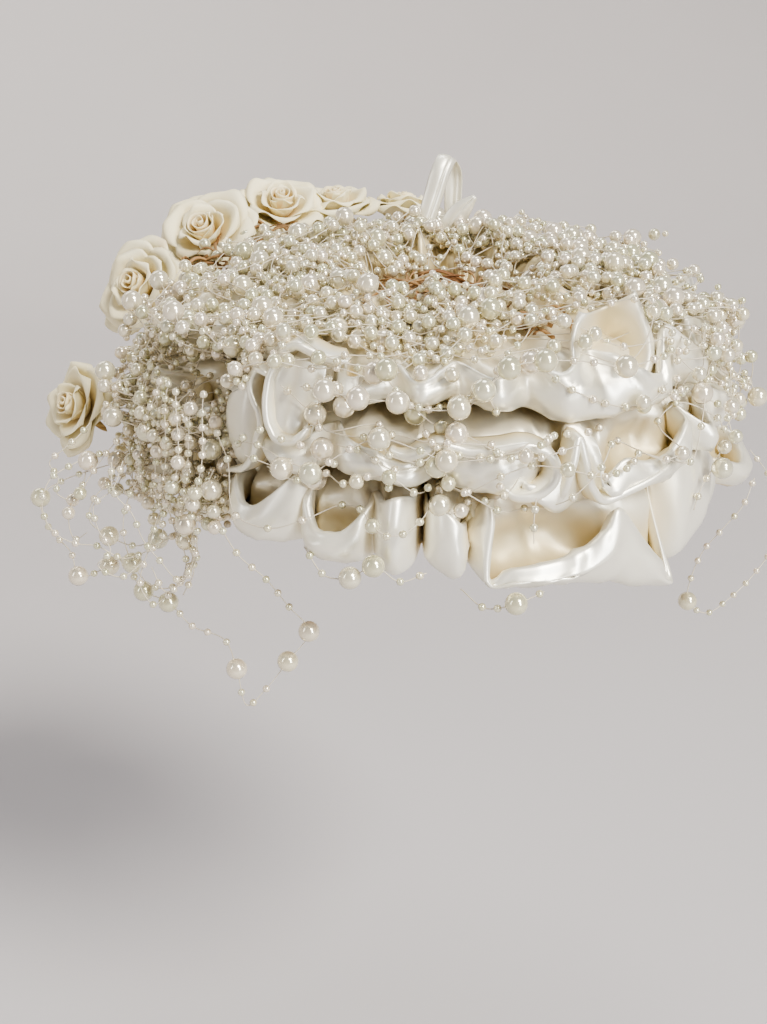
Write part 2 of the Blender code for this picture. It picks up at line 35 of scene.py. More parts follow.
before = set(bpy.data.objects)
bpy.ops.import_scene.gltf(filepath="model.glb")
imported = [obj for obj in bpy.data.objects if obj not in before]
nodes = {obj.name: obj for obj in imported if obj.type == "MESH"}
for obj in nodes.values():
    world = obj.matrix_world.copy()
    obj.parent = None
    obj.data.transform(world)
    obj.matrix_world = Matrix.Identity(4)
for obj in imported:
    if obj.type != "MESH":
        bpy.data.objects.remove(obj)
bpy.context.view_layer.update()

hat = {
    "metre": 0.001,
    "forwardTilt": 7.0,         # degrees about X
    "headHalfWidth": 72.0,
    "headHalfDepth": 78.0,
    "headHeight": 58.0,
    "strawWall": 2.5,
    "brimRadius": 92.0,
    "hubHeight": -30.0,         # the middle that the garland is measured from
    "seed": 7,
}


# Placing and curves

def level(azimuth, radius, height):
    # x = r sin a, y = -r cos a, z = height
    angle = np.radians(azimuth)
    return np.stack(np.broadcast_arrays(radius * np.sin(angle), -radius * np.cos(angle), height), axis=-1)


def levelNet(net):
    # the same for (azimuth, radius, height) along the last axis
    return level(*np.moveaxis(np.asarray(net, float), -1, 0))


def worn(points):
    # (x, y, z) turned about X by the forward tilt t: (x, y cos t - z sin t, y sin t + z cos t)
    t = math.radians(hat["forwardTilt"])
    x, y, z = np.moveaxis(np.asarray(points, float), -1, 0)
    return np.stack((x, y * math.cos(t) - z * math.sin(t), y * math.sin(t) + z * math.cos(t)), axis=-1)


def unit(vectors):
    # v / |v|
    vectors = np.asarray(vectors, float)
    return vectors / np.maximum(np.linalg.norm(vectors, axis=-1, keepdims=True), 1e-9)


def readBetween(at, values, wanted, crisp=0.0):
    # cubic Hermite through values(at), with slopes from the neighbours, drawn towards straight lines by crisp
    at = np.asarray(at, float)
    values = np.asarray(values, float)
    slopes = np.gradient(values, at, axis=0)
    i = np.clip(np.searchsorted(at, wanted, side="right") - 1, 0, len(at) - 2)
    width = at[i + 1] - at[i]
    t = ((wanted - at[i]) / width).reshape((-1,) + (1,) * (values.ndim - 1))
    width = width.reshape(t.shape)
    smooth = ((1 + 2 * t) * (1 - t) ** 2 * values[i] + t * (1 - t) ** 2 * width * slopes[i]
              + t ** 2 * (3 - 2 * t) * values[i + 1] + t ** 2 * (t - 1) * width * slopes[i + 1])
    straight = (1 - t) * values[i] + t * values[i + 1]
    return smooth + crisp * (straight - smooth)


def runningSum(steps):
    # 0, then the sum of the steps so far
    return np.concatenate(([0.0], np.cumsum(steps)))


def lengthsAlong(points):
    # how far each point lies along the line through them
    return runningSum(np.linalg.norm(np.diff(points, axis=0), axis=1))


def readAlong(path, at):
    # the path's values at these lengths from its start
    along = lengthsAlong(path[:, :3])
    return np.stack([np.interp(at, along, path[:, k]) for k in range(path.shape[1])], axis=-1)


def evenPath(points, count):
    # the smooth curve through the points, cut into even lengths
    points = np.asarray(points, float)
    at = lengthsAlong(points[:, :3])
    fine = readBetween(at, points, np.linspace(0, at[-1], 12 * len(points)))
    return readAlong(fine, np.linspace(0, lengthsAlong(fine[:, :3])[-1], count))


def wobble(random, shape, where, waves, size):
    # size * sum of sines over where (0 to 1), one draw of phases for each row of shape
    total = np.zeros(np.broadcast_shapes(shape + (1,), np.shape(where)))
    for wave in waves:
        phase = random.uniform(0, 2 * np.pi, shape + (1,))
        strength = random.uniform(0.5, 1.0, shape + (1,))
        total = total + strength * np.sin(2 * np.pi * wave * where + phase)
    return size * total / math.sqrt(len(waves))


# Meshes

def gridFaces(rows, columns, closedRows=False, closedColumns=False):
    # quads between neighbouring points of a rows x columns grid
    r = np.arange(rows if closedRows else rows - 1)[:, None]
    c = np.arange(columns if closedColumns else columns - 1)[None, :]
    r2, c2 = (r + 1) % rows, (c + 1) % columns
    corners = r * columns + c, r * columns + c2, r2 * columns + c2, r2 * columns + c
    return np.stack(np.broadcast_arrays(*corners), axis=-1).reshape(-1, 4)


def makePiece(name, parts, node, finishes):
    # parts: (points in worn mm, quads, finish number, {attribute: value at the points}), as one mesh
    points = np.concatenate([part[0].reshape(-1, 3) for part in parts]) * hat["metre"]
    starts = np.cumsum([0] + [len(part[0].reshape(-1, 3)) for part in parts])
    quads = np.concatenate([part[1] + start for part, start in zip(parts, starts)])
    mesh = bpy.data.meshes.new(name)
    mesh.vertices.add(len(points))
    mesh.vertices.foreach_set("co", points.astype(np.float32).ravel())
    loops = quads.reshape(-1)
    mesh.loops.add(len(loops))
    mesh.loops.foreach_set("vertex_index", loops.astype(np.int32))
    mesh.polygons.add(len(quads))
    mesh.polygons.foreach_set("loop_start", np.arange(0, len(loops), 4, dtype=np.int32))
    mesh.polygons.foreach_set("material_index",
                              np.concatenate([np.full(len(part[1]), part[2], np.int32) for part in parts]))
    mesh.polygons.foreach_set("use_smooth", np.ones(len(quads), bool))
    for title in parts[0][3]:
        values = [np.broadcast_to(part[3][title], part[0].shape[:-1]).ravel() for part in parts]
        attribute = mesh.attributes.new(title, "FLOAT", "POINT")
        attribute.data.foreach_set("value", np.concatenate(values).astype(np.float32))
    mesh.update(calc_edges=True)
    mesh.validate()
    piece = bpy.data.objects.new(name, mesh)
    bpy.context.scene.collection.objects.link(piece)
    for finish in finishes:
        mesh.materials.append(finish)
    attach(piece, "root")
    if node:
        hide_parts(node)
    return piece


def giveWall(piece, wall):
    # a wall of this many millimetres, half on each side of the sheet
    solidify = piece.modifiers.new("wall", "SOLIDIFY")
    solidify.thickness = wall * hat["metre"]
    solidify.offset = 0.0
    return piece


def cappedFaces(rings, sides):
    # the quads of a tube of rings with an even number of sides, and of the strips that close its ends
    k = np.arange(sides // 2 - 1)
    cap = np.stack((k, k + 1, sides - 2 - k, sides - 1 - k), axis=-1)
    return np.concatenate((gridFaces(rings, sides, closedColumns=True), cap[:, ::-1],
                           cap + (rings - 1) * sides))


def tubeAlong(path, radius, sides):
    # rings of the given radius square to the path, turned from ring to ring without twist
    tangent = unit(np.gradient(path, axis=0))
    guide = unit(np.cross(tangent, (0.31, 0.42, 0.85)))
    other = np.cross(tangent, guide)
    angles = 2 * np.pi * np.arange(sides) / sides
    ring = (np.cos(angles)[None, :, None] * guide[:, None] + np.sin(angles)[None, :, None] * other[:, None])
    radius = np.broadcast_to(radius, len(path))[:, None, None]
    return path[:, None] + radius * ring, cappedFaces(len(path), sides)


def ball(steps):
    # a unit sphere from a cube whose faces have steps x steps quads, with no poles
    edge = np.tan(np.linspace(-1, 1, steps + 1) * np.pi / 4)
    across, up = np.meshgrid(edge, edge, indexing="ij")
    one = np.ones_like(across)
    sides = ((across, up, one), (up, across, -one), (one, across, up), (-one, up, across),
             (up, one, across), (across, -one, up))
    points = unit(np.stack([np.stack(side, axis=-1).reshape(-1, 3) for side in sides]).reshape(-1, 3))
    count = (steps + 1) ** 2
    quads = np.concatenate([gridFaces(steps + 1, steps + 1) + i * count for i in range(6)])
    spots, same = np.unique(np.round(points, 6), axis=0, return_inverse=True)
    return spots, same.reshape(-1)[quads]


# Materials: arithmetic on sockets makes the Math nodes

class Wire:
    def __init__(self, finish, socket):
        self.finish = finish
        self.socket = socket

    def math(self, operation, first, second):
        return self.finish.add("ShaderNodeMath", {"operation": operation}, {0: first, 1: second})

    def __add__(self, other):
        return self.math("ADD", self, other)

    def __radd__(self, other):
        return self.math("ADD", other, self)

    def __sub__(self, other):
        return self.math("SUBTRACT", self, other)

    def __rsub__(self, other):
        return self.math("SUBTRACT", other, self)

    def __mul__(self, other):
        return self.math("MULTIPLY", self, other)

    def __rmul__(self, other):
        return self.math("MULTIPLY", other, self)


class Finish:
    def __init__(self, name, **constants):
        self.material = bpy.data.materials.new(name)
        self.material.use_nodes = True
        self.tree = self.material.node_tree
        self.shader = self.tree.nodes["Principled BSDF"]
        for socket, value in constants.items():
            self.shader.inputs[socket.replace("_", " ")].default_value = value
        self.place = self.add("ShaderNodeTexCoord", output="Object")

    def plug(self, socket, value):
        if isinstance(value, Wire):
            self.tree.links.new(value.socket, socket)
        else:
            socket.default_value = value

    def add(self, kind, settings=None, inputs=None, output=0):
        # any node: its settings first, a ramp's stops among them, then values or links for its sockets
        node = self.tree.nodes.new(kind)
        for title, value in (settings or {}).items():
            if title == "stops":
                ramp = node.color_ramp.elements
                while len(ramp) < len(value):
                    ramp.new(0.5)
                for element, (position, colour) in zip(ramp, value):
                    element.position = position
                    element.color = (*colour, 1.0)
            else:
                setattr(node, title, value)
        for title, value in (inputs or {}).items():
            self.plug(node.inputs[title], value)
        return Wire(self, node.outputs[output])

    def noise(self, scale, detail=2.0, where=None, stretch=None):
        where = where or self.place
        if stretch:
            where = self.add("ShaderNodeMapping", None, {"Vector": where, "Scale": stretch})
        return self.add("ShaderNodeTexNoise", None, {"Vector": where, "Scale": scale, "Detail": detail})

    def attribute(self, title):
        return self.add("ShaderNodeAttribute", {"attribute_name": title}, output="Fac")

    def between(self, value, low, high):
        # 0 below low, 1 above high
        return self.add("ShaderNodeMapRange", {"interpolation_type": "SMOOTHSTEP"},
                        {"Value": value, "From Min": low, "From Max": high})

    def mix(self, share, first, second):
        return self.add("ShaderNodeMix", {"data_type": "RGBA"},
                        {0: share, 6: (*first, 1.0) if isinstance(first, tuple) else first,
                         7: (*second, 1.0) if isinstance(second, tuple) else second}, output=2)

    def bump(self, height, distance, strength=1.0):
        self.plug(self.shader.inputs["Normal"],
                  self.add("ShaderNodeBump", None,
                           {"Height": height, "Distance": distance * hat["metre"], "Strength": strength}))

    def paint(self, **links):
        for socket, value in links.items():
            self.plug(self.shader.inputs[socket.replace("_", " ")], value)
        return self.material


def satinFinish():
    # ivory satin: half metallic for its gloss, with painted shade that makes it yellower, then golden, where
    # it is folded deep, brown in the gaps, and dulls its gloss there
    satin = Finish("ivorySatin", Specular_IOR_Level=0.8, Sheen_Weight=0.10, Sheen_Roughness=0.35,
                   Coat_Roughness=0.12, Coat_IOR=1.5)
    deep = satin.attribute("deep")
    clouds = satin.noise(34.0, 3.0)
    paintedShadeTan = satin.mix(clouds, (0.79, 0.67, 0.42), (0.87, 0.77, 0.54))
    pale = satin.mix(clouds, (0.91, 0.87, 0.72), (0.95, 0.92, 0.81))
    # painted shade: the pale satin turns tan, then golden, then brown in the gaps
    colour = satin.mix(satin.between(deep, 0.10, 0.80), pale, paintedShadeTan)
    colour = satin.mix(satin.between(deep, 0.50, 1.0) * 0.55, colour, (0.68, 0.565, 0.30))
    colour = satin.mix(satin.between(deep, 0.85, 1.10), colour, (0.45, 0.30, 0.13))
    creases = satin.noise(60.0, 2.0)
    slub = satin.noise(900.0, 1.0, stretch=(0.22, 1.0, 1.0))
    satin.bump(creases + slub * 0.03, 0.9, 0.10)
    return satin.paint(Base_Color=colour, Roughness=0.32 + 0.08 * satin.noise(210.0, 2.0) + 0.10 * deep,
                       Metallic=0.50 - 0.22 * deep, Coat_Weight=0.22 - 0.15 * deep)


def paperFinish():
    # matt crepe paper: fibres up the petal, pale edges, painted shade that turns it brownish yellow deep in
    # the rose, a tan bruise here and there
    paper = Finish("creamPaper", Specular_IOR_Level=0.28, Sheen_Weight=0.10)
    deep = paper.attribute("deep")
    fibres = paper.noise(420.0, 3.0, stretch=(1.0, 1.0, 0.3))
    blotch = paper.noise(70.0, 3.0)
    edge = paper.mix(blotch, (0.92, 0.82, 0.51), (0.96, 0.90, 0.67))
    heart = paper.mix(blotch, (0.72, 0.46, 0.17), (0.84, 0.63, 0.31))
    # painted shade: the heart colour where the rose is deep
    colour = paper.mix(paper.between(deep, 0.15, 1.05), edge, heart)
    bruise = paper.between(paper.noise(38.0, 2.0), 0.60, 0.74)
    paper.bump(fibres * 0.5 + blotch, 0.35, 0.5)
    return paper.paint(Base_Color=paper.mix(bruise * 0.45, colour, (0.66, 0.47, 0.26)),
                       Roughness=0.66 + 0.18 * fibres)


def stemFinish():
    # florist's tape wound round the wire
    tape = Finish("floristTape", Specular_IOR_Level=0.25)
    turns = tape.add("ShaderNodeTexWave", {"wave_type": "BANDS", "bands_direction": "Z"},
                     {"Vector": tape.place, "Scale": 150.0, "Distortion": 3.0, "Detail": 2.0})
    fibres = tape.noise(600.0, 3.0)
    tape.bump(turns * 0.7 + fibres * 0.4, 0.4, 0.7)
    return tape.paint(Base_Color=tape.mix(turns, (0.34, 0.22, 0.09), (0.52, 0.38, 0.18)),
                      Roughness=0.68 + 0.2 * fibres)


def strawFinish():
    # split straw: long pale and brown streaks, the nodes darker; the same darkening paints shade between the
    # cap's plait strands and gives each loose fibre a random darker tone
    straw = Finish("brownStraw", Specular_IOR_Level=0.4)
    deep = straw.attribute("deep")
    streaks = straw.noise(260.0, 4.0)
    knots = straw.noise(55.0, 2.0)
    colour = straw.mix(streaks, (0.20, 0.095, 0.030), (0.62, 0.40, 0.19))
    colour = straw.mix(straw.between(knots, 0.52, 0.66), colour, (0.24, 0.11, 0.04))
    straw.bump(streaks, 0.3, 0.6)
    # painted shade between the plait strands, and each loose fibre's random tone
    return straw.paint(Base_Color=straw.mix(deep * 0.6, colour, (0.10, 0.045, 0.015)),
                       Roughness=0.45 + 0.3 * streaks)


def pearlFinish():
    # pearl coating: a hard bright glint, each bead leaning to ivory, rose or green by its own tint
    pearl = Finish("pearlCoat", Specular_IOR_Level=0.9, Coat_Weight=1.0, Coat_Roughness=0.05, Coat_IOR=1.7,
                   Sheen_Weight=0.15, Sheen_Roughness=0.3)
    tints = [(0.0, (0.67, 0.65, 0.43)), (0.3, (0.85, 0.78, 0.56)), (0.6, (0.89, 0.79, 0.63)),
             (1.0, (0.75, 0.73, 0.52))]
    body = pearl.add("ShaderNodeValToRGB", {"stops": tints}, {"Fac": pearl.attribute("tint")})
    swirl = pearl.noise(260.0, 2.0)
    pearl.bump(swirl, 0.05, 0.2)
    return pearl.paint(Base_Color=body, Roughness=0.13 + 0.10 * swirl, Metallic=0.42 + 0.12 * swirl)


def threadFinish():
    # nylon line with an ivory cast and worn, cloudy stretches
    thread = Finish("ivoryLine", Specular_IOR_Level=0.6, Transmission_Weight=0.15)
    cloudy = thread.noise(120.0, 2.0)
    return thread.paint(Base_Color=thread.mix(cloudy, (0.70, 0.60, 0.44), (0.86, 0.80, 0.66)),
                        Roughness=0.22 + 0.25 * cloudy)


satin = satinFinish()
paper = paperFinish()
tape = stemFinish()
straw = strawFinish()
pearlCoat = pearlFinish()
nylon = threadFinish()
print("finishes made")


# Straw cap: rows of plait sewn round in a spiral, inside and out

strawCap = {
    "plaitWidth": 6.5,
    "plaitPeriod": 4.2,         # degrees round for one crossing
    "plaitDepth": 0.9,
    "around": 200,
    "along": 48,
    "brimShare": 0.16,
}


def ovalRadius(azimuth, halfWidth, halfDepth):
    # 1 / sqrt((sin a / w)^2 + (cos a / d)^2)
    angle = np.radians(azimuth)
    return 1 / np.sqrt((np.sin(angle) / halfWidth) ** 2 + (np.cos(angle) / halfDepth) ** 2)


def capSkin(wall, sign):
    # a quarter ellipse from the top down to the brim, then flat to its edge, with the plaits raised on it and
    # painted shade where the strands dip
    azimuth = np.arange(strawCap["around"]) * 360 / strawCap["around"]
    v = np.linspace(0.004, 1, strawCap["along"])[:, None]
    dome = np.clip(v / (1 - strawCap["brimShare"]), 0, 1)
    brim = np.clip((v - 1 + strawCap["brimShare"]) / strawCap["brimShare"], 0, 1)
    angle = dome * np.pi / 2
    oval = ovalRadius(azimuth, hat["headHalfWidth"], hat["headHalfDepth"]) + wall
    height = (hat["headHeight"] + wall) * np.cos(angle) - hat["headHeight"]
    radius = oval * np.sin(angle) + brim * (hat["brimRadius"] - oval)
    run = (dome * hat["headHalfDepth"] * 1.4 + brim * 18) / strawCap["plaitWidth"] + azimuth / 360
    plait, across = np.floor(run), (run % 1.0) * 2 - 1
    beat = azimuth / strawCap["plaitPeriod"] + 0.5 * plait
    strands = np.abs(np.sin(np.pi * (beat + 0.45 * np.abs(across))))
    arch = np.sqrt(np.clip(1 - across ** 2, 0, 1)) * (0.35 + 0.65 * strands)
    relief = strawCap["plaitDepth"] * (arch - 0.4) * np.clip(v * 14, 0, 1)
    points = level(azimuth, radius + sign * relief * np.sin(angle), height + sign * relief * np.cos(angle))
    return points, 1 - np.broadcast_to(strands, points.shape[:-1])


def makeStrawCap():
    # the outer skin downwards, then the inner one back up, each closed at the top
    outer, outerPaintedShade = capSkin(hat["strawWall"], 1.0)
    inner, innerPaintedShade = capSkin(0.0, -1.0)
    rows = np.concatenate((outer, inner[::-1]))
    deep = np.concatenate((outerPaintedShade, innerPaintedShade[::-1]))
    quads = cappedFaces(len(rows), strawCap["around"])
    makePiece("strawCap", [(worn(rows), quads, 0, {"deep": deep})], "straw_base", [straw])


makeStrawCap()
print("straw cap woven")


# Loose straw: frayed fibres that lie across the bare middle of the crown

looseStraw = {
    "spread": 27.0,
    "edge": 31.0,               # no fibre of a full-sized tuft reaches further out
    "reach": (8, 20),           # half the length of a fibre
    "highest": 8.0,
    "thickness": (0.35, 0.85),
    "bow": 7.0,
    # middle on the level hat, how many fibres, how tight the tuft is
    "places": [((0, 0, 0), 110, 1.0), ((-94, 56, 2), 16, 0.6), ((-72, 80, 6), 14, 0.6),
               ((33, -54, 6), 12, 0.4)],
}


def makeLooseStraw():
    # each fibre runs through a random place in the tuft, bowed sideways by b sin(pi t)
    random = np.random.default_rng(hat["seed"])
    parts = []
    t = np.linspace(0, 1, 9)
    for place, count, tight in looseStraw["places"]:
        for i in range(count):
            middle = looseStraw["spread"] * np.sqrt(random.uniform(0, 1)) * unit(random.normal(0, 1, 2))
            heading = random.uniform(0, np.pi)
            along = np.array((math.cos(heading), math.sin(heading)))
            reach = random.uniform(*looseStraw["reach"])
            bow = random.uniform(-1, 1) * looseStraw["bow"] * np.sin(np.pi * t)[:, None]
            flat = middle + (t[:, None] * 2 - 1) * reach * along + bow * along[::-1] * (1, -1)
            far = np.maximum(np.linalg.norm(flat, axis=1), 1)[:, None]
            flat = flat * np.minimum(1, looseStraw["edge"] / far)
            rest = 1.5 + random.uniform(0, 1) * looseStraw["highest"]
            height = rest * (0.55 + 0.45 * np.sin(np.pi * t + random.uniform(-1, 1))) + 0.8
            path = np.column_stack((flat * tight, height)) + place
            thickness = random.uniform(*looseStraw["thickness"]) * (1.05 - t ** 4)
            tube, quads = tubeAlong(worn(path), thickness, 4)
            # a random darker tone for each fibre, in the same attribute as the cap's painted shade
            parts.append((tube, quads, 0, {"deep": random.uniform(0, 0.8)}))
    makePiece("looseStraw", parts, None, [straw])


makeLooseStraw()


# Satin tiers: from the root on the cap out over the belly, down the fall, under at the hem, up to the lip,
# over it in a soft roll and down again behind

satinCloth = {
    "wall": 0.7,
    "around": 460,
    "gathers": 74,              # pleats at the root
    "gatherDepth": 1.5,
    "creaseDepth": 1.05,
    "crisp": 0.15,
    "valley": 21.0,             # how far behind its neighbours a point has to lie to look fully shaded
    "bulge": 3.0,               # how far the turned-up face swells between hem and lip
    "puffSwing": 0.45,          # how much the puffs differ from fold to fold
    "lipTuck": 9.0,             # how far the doubled edge goes back down inside
    "rootClear": 0.8,           # how far the root stands off the cap
    "steps": (5, 6, 5, 4, 4, 3, 3, 5, 5, 4, 4, 5),      # quads from each station of the net to the next
    "gathered": 1.05,           # area of the modelled cloth over that of its cut
}

# One row for each fold: azimuth, hem radius, hem height, lip azimuth, lip radius, lip height,
# roll of the lip, depth of the hollow behind it
tiers = [
    dict(name="lowerRuffle", node="lower_ruffle", root=-36.0, belly=-36.0, puff=3.0,
         back=(12, 114, 99, -66, -49), folds=[
        (-62, 105, -69, -61, 107, -58, 1.4, 8), (-54, 95, -64, -54, 94, -48, 1.2, 3),
        (-50, 104, -60, -51, 105, -46, 1.2, 7), (-46, 99, -58, -47, 98, -42, 1.2, 3),
        (-43, 109, -57, -44, 109, -38.5, 1.2, 6), (-40.5, 112, -57, -41, 113, -45, 1.2, 11),
        (-37, 112, -57, -37.5, 113, -45, 1.2, 12), (-33.5, 111, -56.5, -34, 111, -39.5, 1.2, 8),
        (-30.5, 107, -56.5, -30, 106, -32, 1.2, 4), (-28.2, 103, -56.5, -28, 102, -34, 1.1, 3),
        (-26.5, 108, -57, -27.3, 108, -42, 1.1, 7), (-23.5, 112, -58, -24, 113.5, -48, 1.2, 13),
        (-19.5, 112, -58.5, -19.5, 113.5, -47.5, 1.2, 13), (-16.5, 109, -58.5, -16.3, 109, -42, 1.2, 8),
        (-14.5, 102, -58.5, -14.5, 101, -37, 1.2, 4), (-12, 110, -59, -12.3, 110, -36, 2.0, 5),
        (-9.5, 113.5, -60.5, -9.8, 113.5, -33, 3.0, 5), (-7.5, 110, -59, -7.8, 109, -34, 1.8, 4),
        (-5.5, 88, -57, -5.5, 87, -40, 1.2, 3), (-3, 108, -59, -3, 108, -37.5, 1.6, 5),
        (-1.2, 110, -60.5, -0.9, 111, -38, 1.6, 6), (1.3, 111.5, -61, 1.2, 112, -42, 1.6, 8),
        (3.3, 101, -60, 3.8, 100, -46, 1.2, 3), (4.6, 108, -61, 7.6, 108, -35, 0.9, 4),
        (5.8, 113, -62.5, 6.2, 114, -59, 0.9, 10), (11, 114, -64, 11, 117, -57.5, 2.2, 17),
        (17, 114, -65, 17, 118, -56.5, 3.0, 19), (23, 114, -67, 23.5, 118, -54, 3.2, 19),
        (28, 114, -69, 28.5, 117.5, -48, 3.0, 15), (31, 113.5, -70, 31, 115, -42, 2.0, 8),
        (36, 115, -74, 36, 117.5, -55, 1.6, 6), (42, 117, -77, 41.5, 120, -72, 0.9, 8),
        (44.5, 103, -74, 44.5, 103, -40, 1.0, 3), (49, 111, -73, 49, 109, -38, 1.6, 4),
        (55, 113, -67, 54, 111, -37, 1.8, 4), (61, 112, -60, 60, 110, -36, 1.8, 5),
        (68, 109, -58, 68, 107, -40, 1.8, 5),
        (76, 100, -62, 76, 99, -48, 1.2, 3), (84, 121, -70, 83, 124, -61, 1.2, 10),
        (94, 123, -71, 95, 125, -57, 1.4, 10)]),
    dict(name="middleRuffle", node="middle_ruffle", root=-14.0, belly=-13.0, puff=3.0,
         back=(13, 111, 96, -32, -14), folds=[
        (-62, 100, -38, -62, 102, -23, 1.2, 6), (-53, 91, -34, -53, 90, -20, 1.0, 3),
        (-47, 100, -35, -50, 101, -14, 1.2, 7), (-42, 104, -34, -43, 103, -6, 1.0, 9),
        (-38, 95, -31, -37, 93, -12, 0.9, 3), (-34, 105, -32, -36, 107, -21, 1.0, 10),
        (-29, 106, -30, -30, 107, -19, 1.1, 9), (-24, 98, -28, -24, 97, -14, 1.1, 3),
        (-19, 106, -28, -19, 107, -15, 1.4, 8), (-12, 107, -28, -13, 109, -19, 1.1, 10),
        (-7, 107, -30, -8, 108, -22, 1.0, 10), (-2, 99, -29, -3, 98, -14, 1.4, 4),
        (3, 105, -31, 2, 106, -14, 1.8, 7), (10, 107, -33, 11, 109, -18.5, 1.1, 9),
        (13, 104, -34.5, 17.5, 104, -18, 0.9, 6), (15.5, 103, -36, 15, 103.5, -24, 0.9, 5),
        (18, 109, -40, 13.5, 111, -29, 1.0, 9), (20.5, 108.5, -41, 18.5, 111, -29.5, 1.0, 9),
        (23, 106, -41, 21.5, 107, -20, 1.3, 8), (26, 104, -41, 23.5, 101, -13, 1.2, 4),
        (29, 106, -40, 28, 107, -19, 1.3, 7), (31, 109, -39.5, 28.5, 111, -31, 0.9, 7),
        (34, 109, -38.5, 33, 111, -26, 1.0, 10), (38, 110, -38, 38, 113, -29, 1.4, 16),
        (45, 111, -37, 45, 113.5, -27, 1.4, 17), (50, 110, -36, 51, 111, -20, 1.2, 9),
        (53, 104, -35, 53, 103, -17, 1.0, 3), (57, 114, -34, 56, 116, -24, 1.1, 9),
        (61, 108, -33, 60, 108, -15, 1.1, 4), (65, 113, -30, 65, 115, -18, 1.1, 8),
        (73, 100, -32, 73, 99, -18, 1.2, 3), (82, 113, -37, 81, 115, -24, 1.2, 8)]),
    dict(name="crownRuffle", node="crown_ruffle", root=-3.0, belly=4.0, puff=8.0,
         back=(11, 103, 88, -10, 6), folds=[
        (-60, 94, 0, -60, 96, 8, 1.2, 6), (-50, 84, 0, -50, 83, 7, 1.0, 3),
        (-42, 92, 3, -43, 93, 11, 1.0, 6), (-34, 95, 0, -34, 96, 9, 1.0, 6),
        (-26, 86, -3, -26, 85, 7, 1.0, 3), (-20, 96, -6, -21, 98, 3, 1.1, 8),
        (-12, 90, -5, -12, 89, 6, 1.2, 4), (-5, 97, -5, -6, 99, 3, 1.2, 8),
        (1, 89, -4, 1, 88, 7, 1.2, 4), (10, 98, -6, 9.5, 100, 5, 1.4, 7),
        (16, 92, -8, 16, 90, 8, 1.3, 4), (22, 101, -11, 22, 101, 4, 2.6, 8),
        (27, 102, -12, 27, 98, 7, 2.6, 7), (31, 101, -12, 31, 92, 9, 1.5, 4),
        (35, 102, -12, 35, 98, 7, 2.6, 7), (41, 103, -12, 41, 103, 1, 1.4, 10),
        (46, 103, -12, 46, 104, -2, 1.1, 12), (52, 101, -10, 51, 99, 12, 1.0, 9),
        (59, 105, -11, 58, 107, 2, 1.0, 9), (64, 100, -10, 63, 99, 10, 1.0, 4),
        (68, 103, -9, 69, 104, 6, 1.0, 7), (72, 96, -8, 72, 95, 9, 1.0, 3),
        (78, 103, -10, 78, 105, 3, 1.2, 7)]),
]


def rootOnCap(azimuth, height):
    # where the tier leaves the cap's outside: radius = oval * sqrt(1 - ((z + h) / h)^2)
    wall = hat["strawWall"]
    up = (height + hat["headHeight"]) / (hat["headHeight"] + wall)
    oval = ovalRadius(azimuth, hat["headHalfWidth"] + wall, hat["headHalfDepth"] + wall)
    return oval * math.sqrt(1 - up * up) + satinCloth["rootClear"]


def tierRows(tier):
    # the folds that show, then even crests and valleys round the hidden back
    waves, crest, valley, hemHeight, lipHeight = tier["back"]
    first, last = tier["folds"][0][0], tier["folds"][-1][0]
    step = (360 + first - last) / (2 * waves)
    random = np.random.default_rng(hat["seed"] + len(tier["folds"]))
    rows = list(tier["folds"])
    for i in range(1, 2 * waves):
        out = (valley if i % 2 else crest) + random.uniform(-3, 3)
        lean = random.uniform(-0.35, 0.35) * step
        azimuth = last + (i + random.uniform(-0.25, 0.25)) * step
        hem = hemHeight + random.uniform(-3, 3)
        lip = out + random.uniform(-1, 3), lipHeight + random.uniform(-6, 3)
        roll = random.uniform(1.0, 1.8)
        hollow = 3.0 if i % 2 else random.uniform(7, 13)
        rows.append((azimuth, out, hem, azimuth + lean, *lip, roll, hollow))
    return np.array(rows, float)


def tierNet(tier):
    # control points of the tier in (azimuth, radius, height): a row for each fold, a column for each station
    rows = tierRows(tier)
    azimuth, hemR, hemZ, lipA, lipR, lipZ, roll, hollow = rows.T
    rootR = rootOnCap(azimuth, tier["root"])
    out, down = hemR - rootR, hemZ - tier["belly"]
    mixA = 0.5 * (azimuth + lipA)
    fold = np.arange(len(rows))
    swing = 1 + satinCloth["puffSwing"] * (np.sin(2.9 * fold) + np.sin(1.7 * fold + 2))
    tuck = np.minimum(satinCloth["lipTuck"], 0.75 * (lipZ - hemZ))
    stations = (
        (azimuth, rootR, tier["root"] + 0 * out),
        (azimuth, rootR + 0.20 * out, tier["belly"] + tier["puff"] * swing),
        (azimuth, rootR + 0.50 * out, tier["belly"] + 0.55 * tier["puff"] * np.roll(swing, 1)),
        (azimuth, hemR - 0.7 * hollow - 3.0, tier["belly"] + 0.26 * down),
        (azimuth, hemR - hollow, tier["belly"] + 0.60 * down),
        (azimuth, hemR - 0.62 * hollow, hemZ + 3.0),
        (azimuth, hemR - 1.6, hemZ + 0.3),
        (azimuth, hemR + 0.3, hemZ + 0.6),
        (mixA, 0.5 * (hemR + lipR) + satinCloth["bulge"], 0.5 * (hemZ + lipZ)),
        (lipA, lipR, lipZ - 1.1 * roll),
        (lipA, lipR - 0.8 * roll, lipZ),
        (lipA, lipR - 1.9 * roll, lipZ - 0.9 * roll),
        (mixA, 0.5 * (hemR + lipR) - 1.9 * roll - 0.6, lipZ - roll - tuck),
    )
    return rows, np.stack([np.stack(station, axis=-1) for station in stations], axis=1)


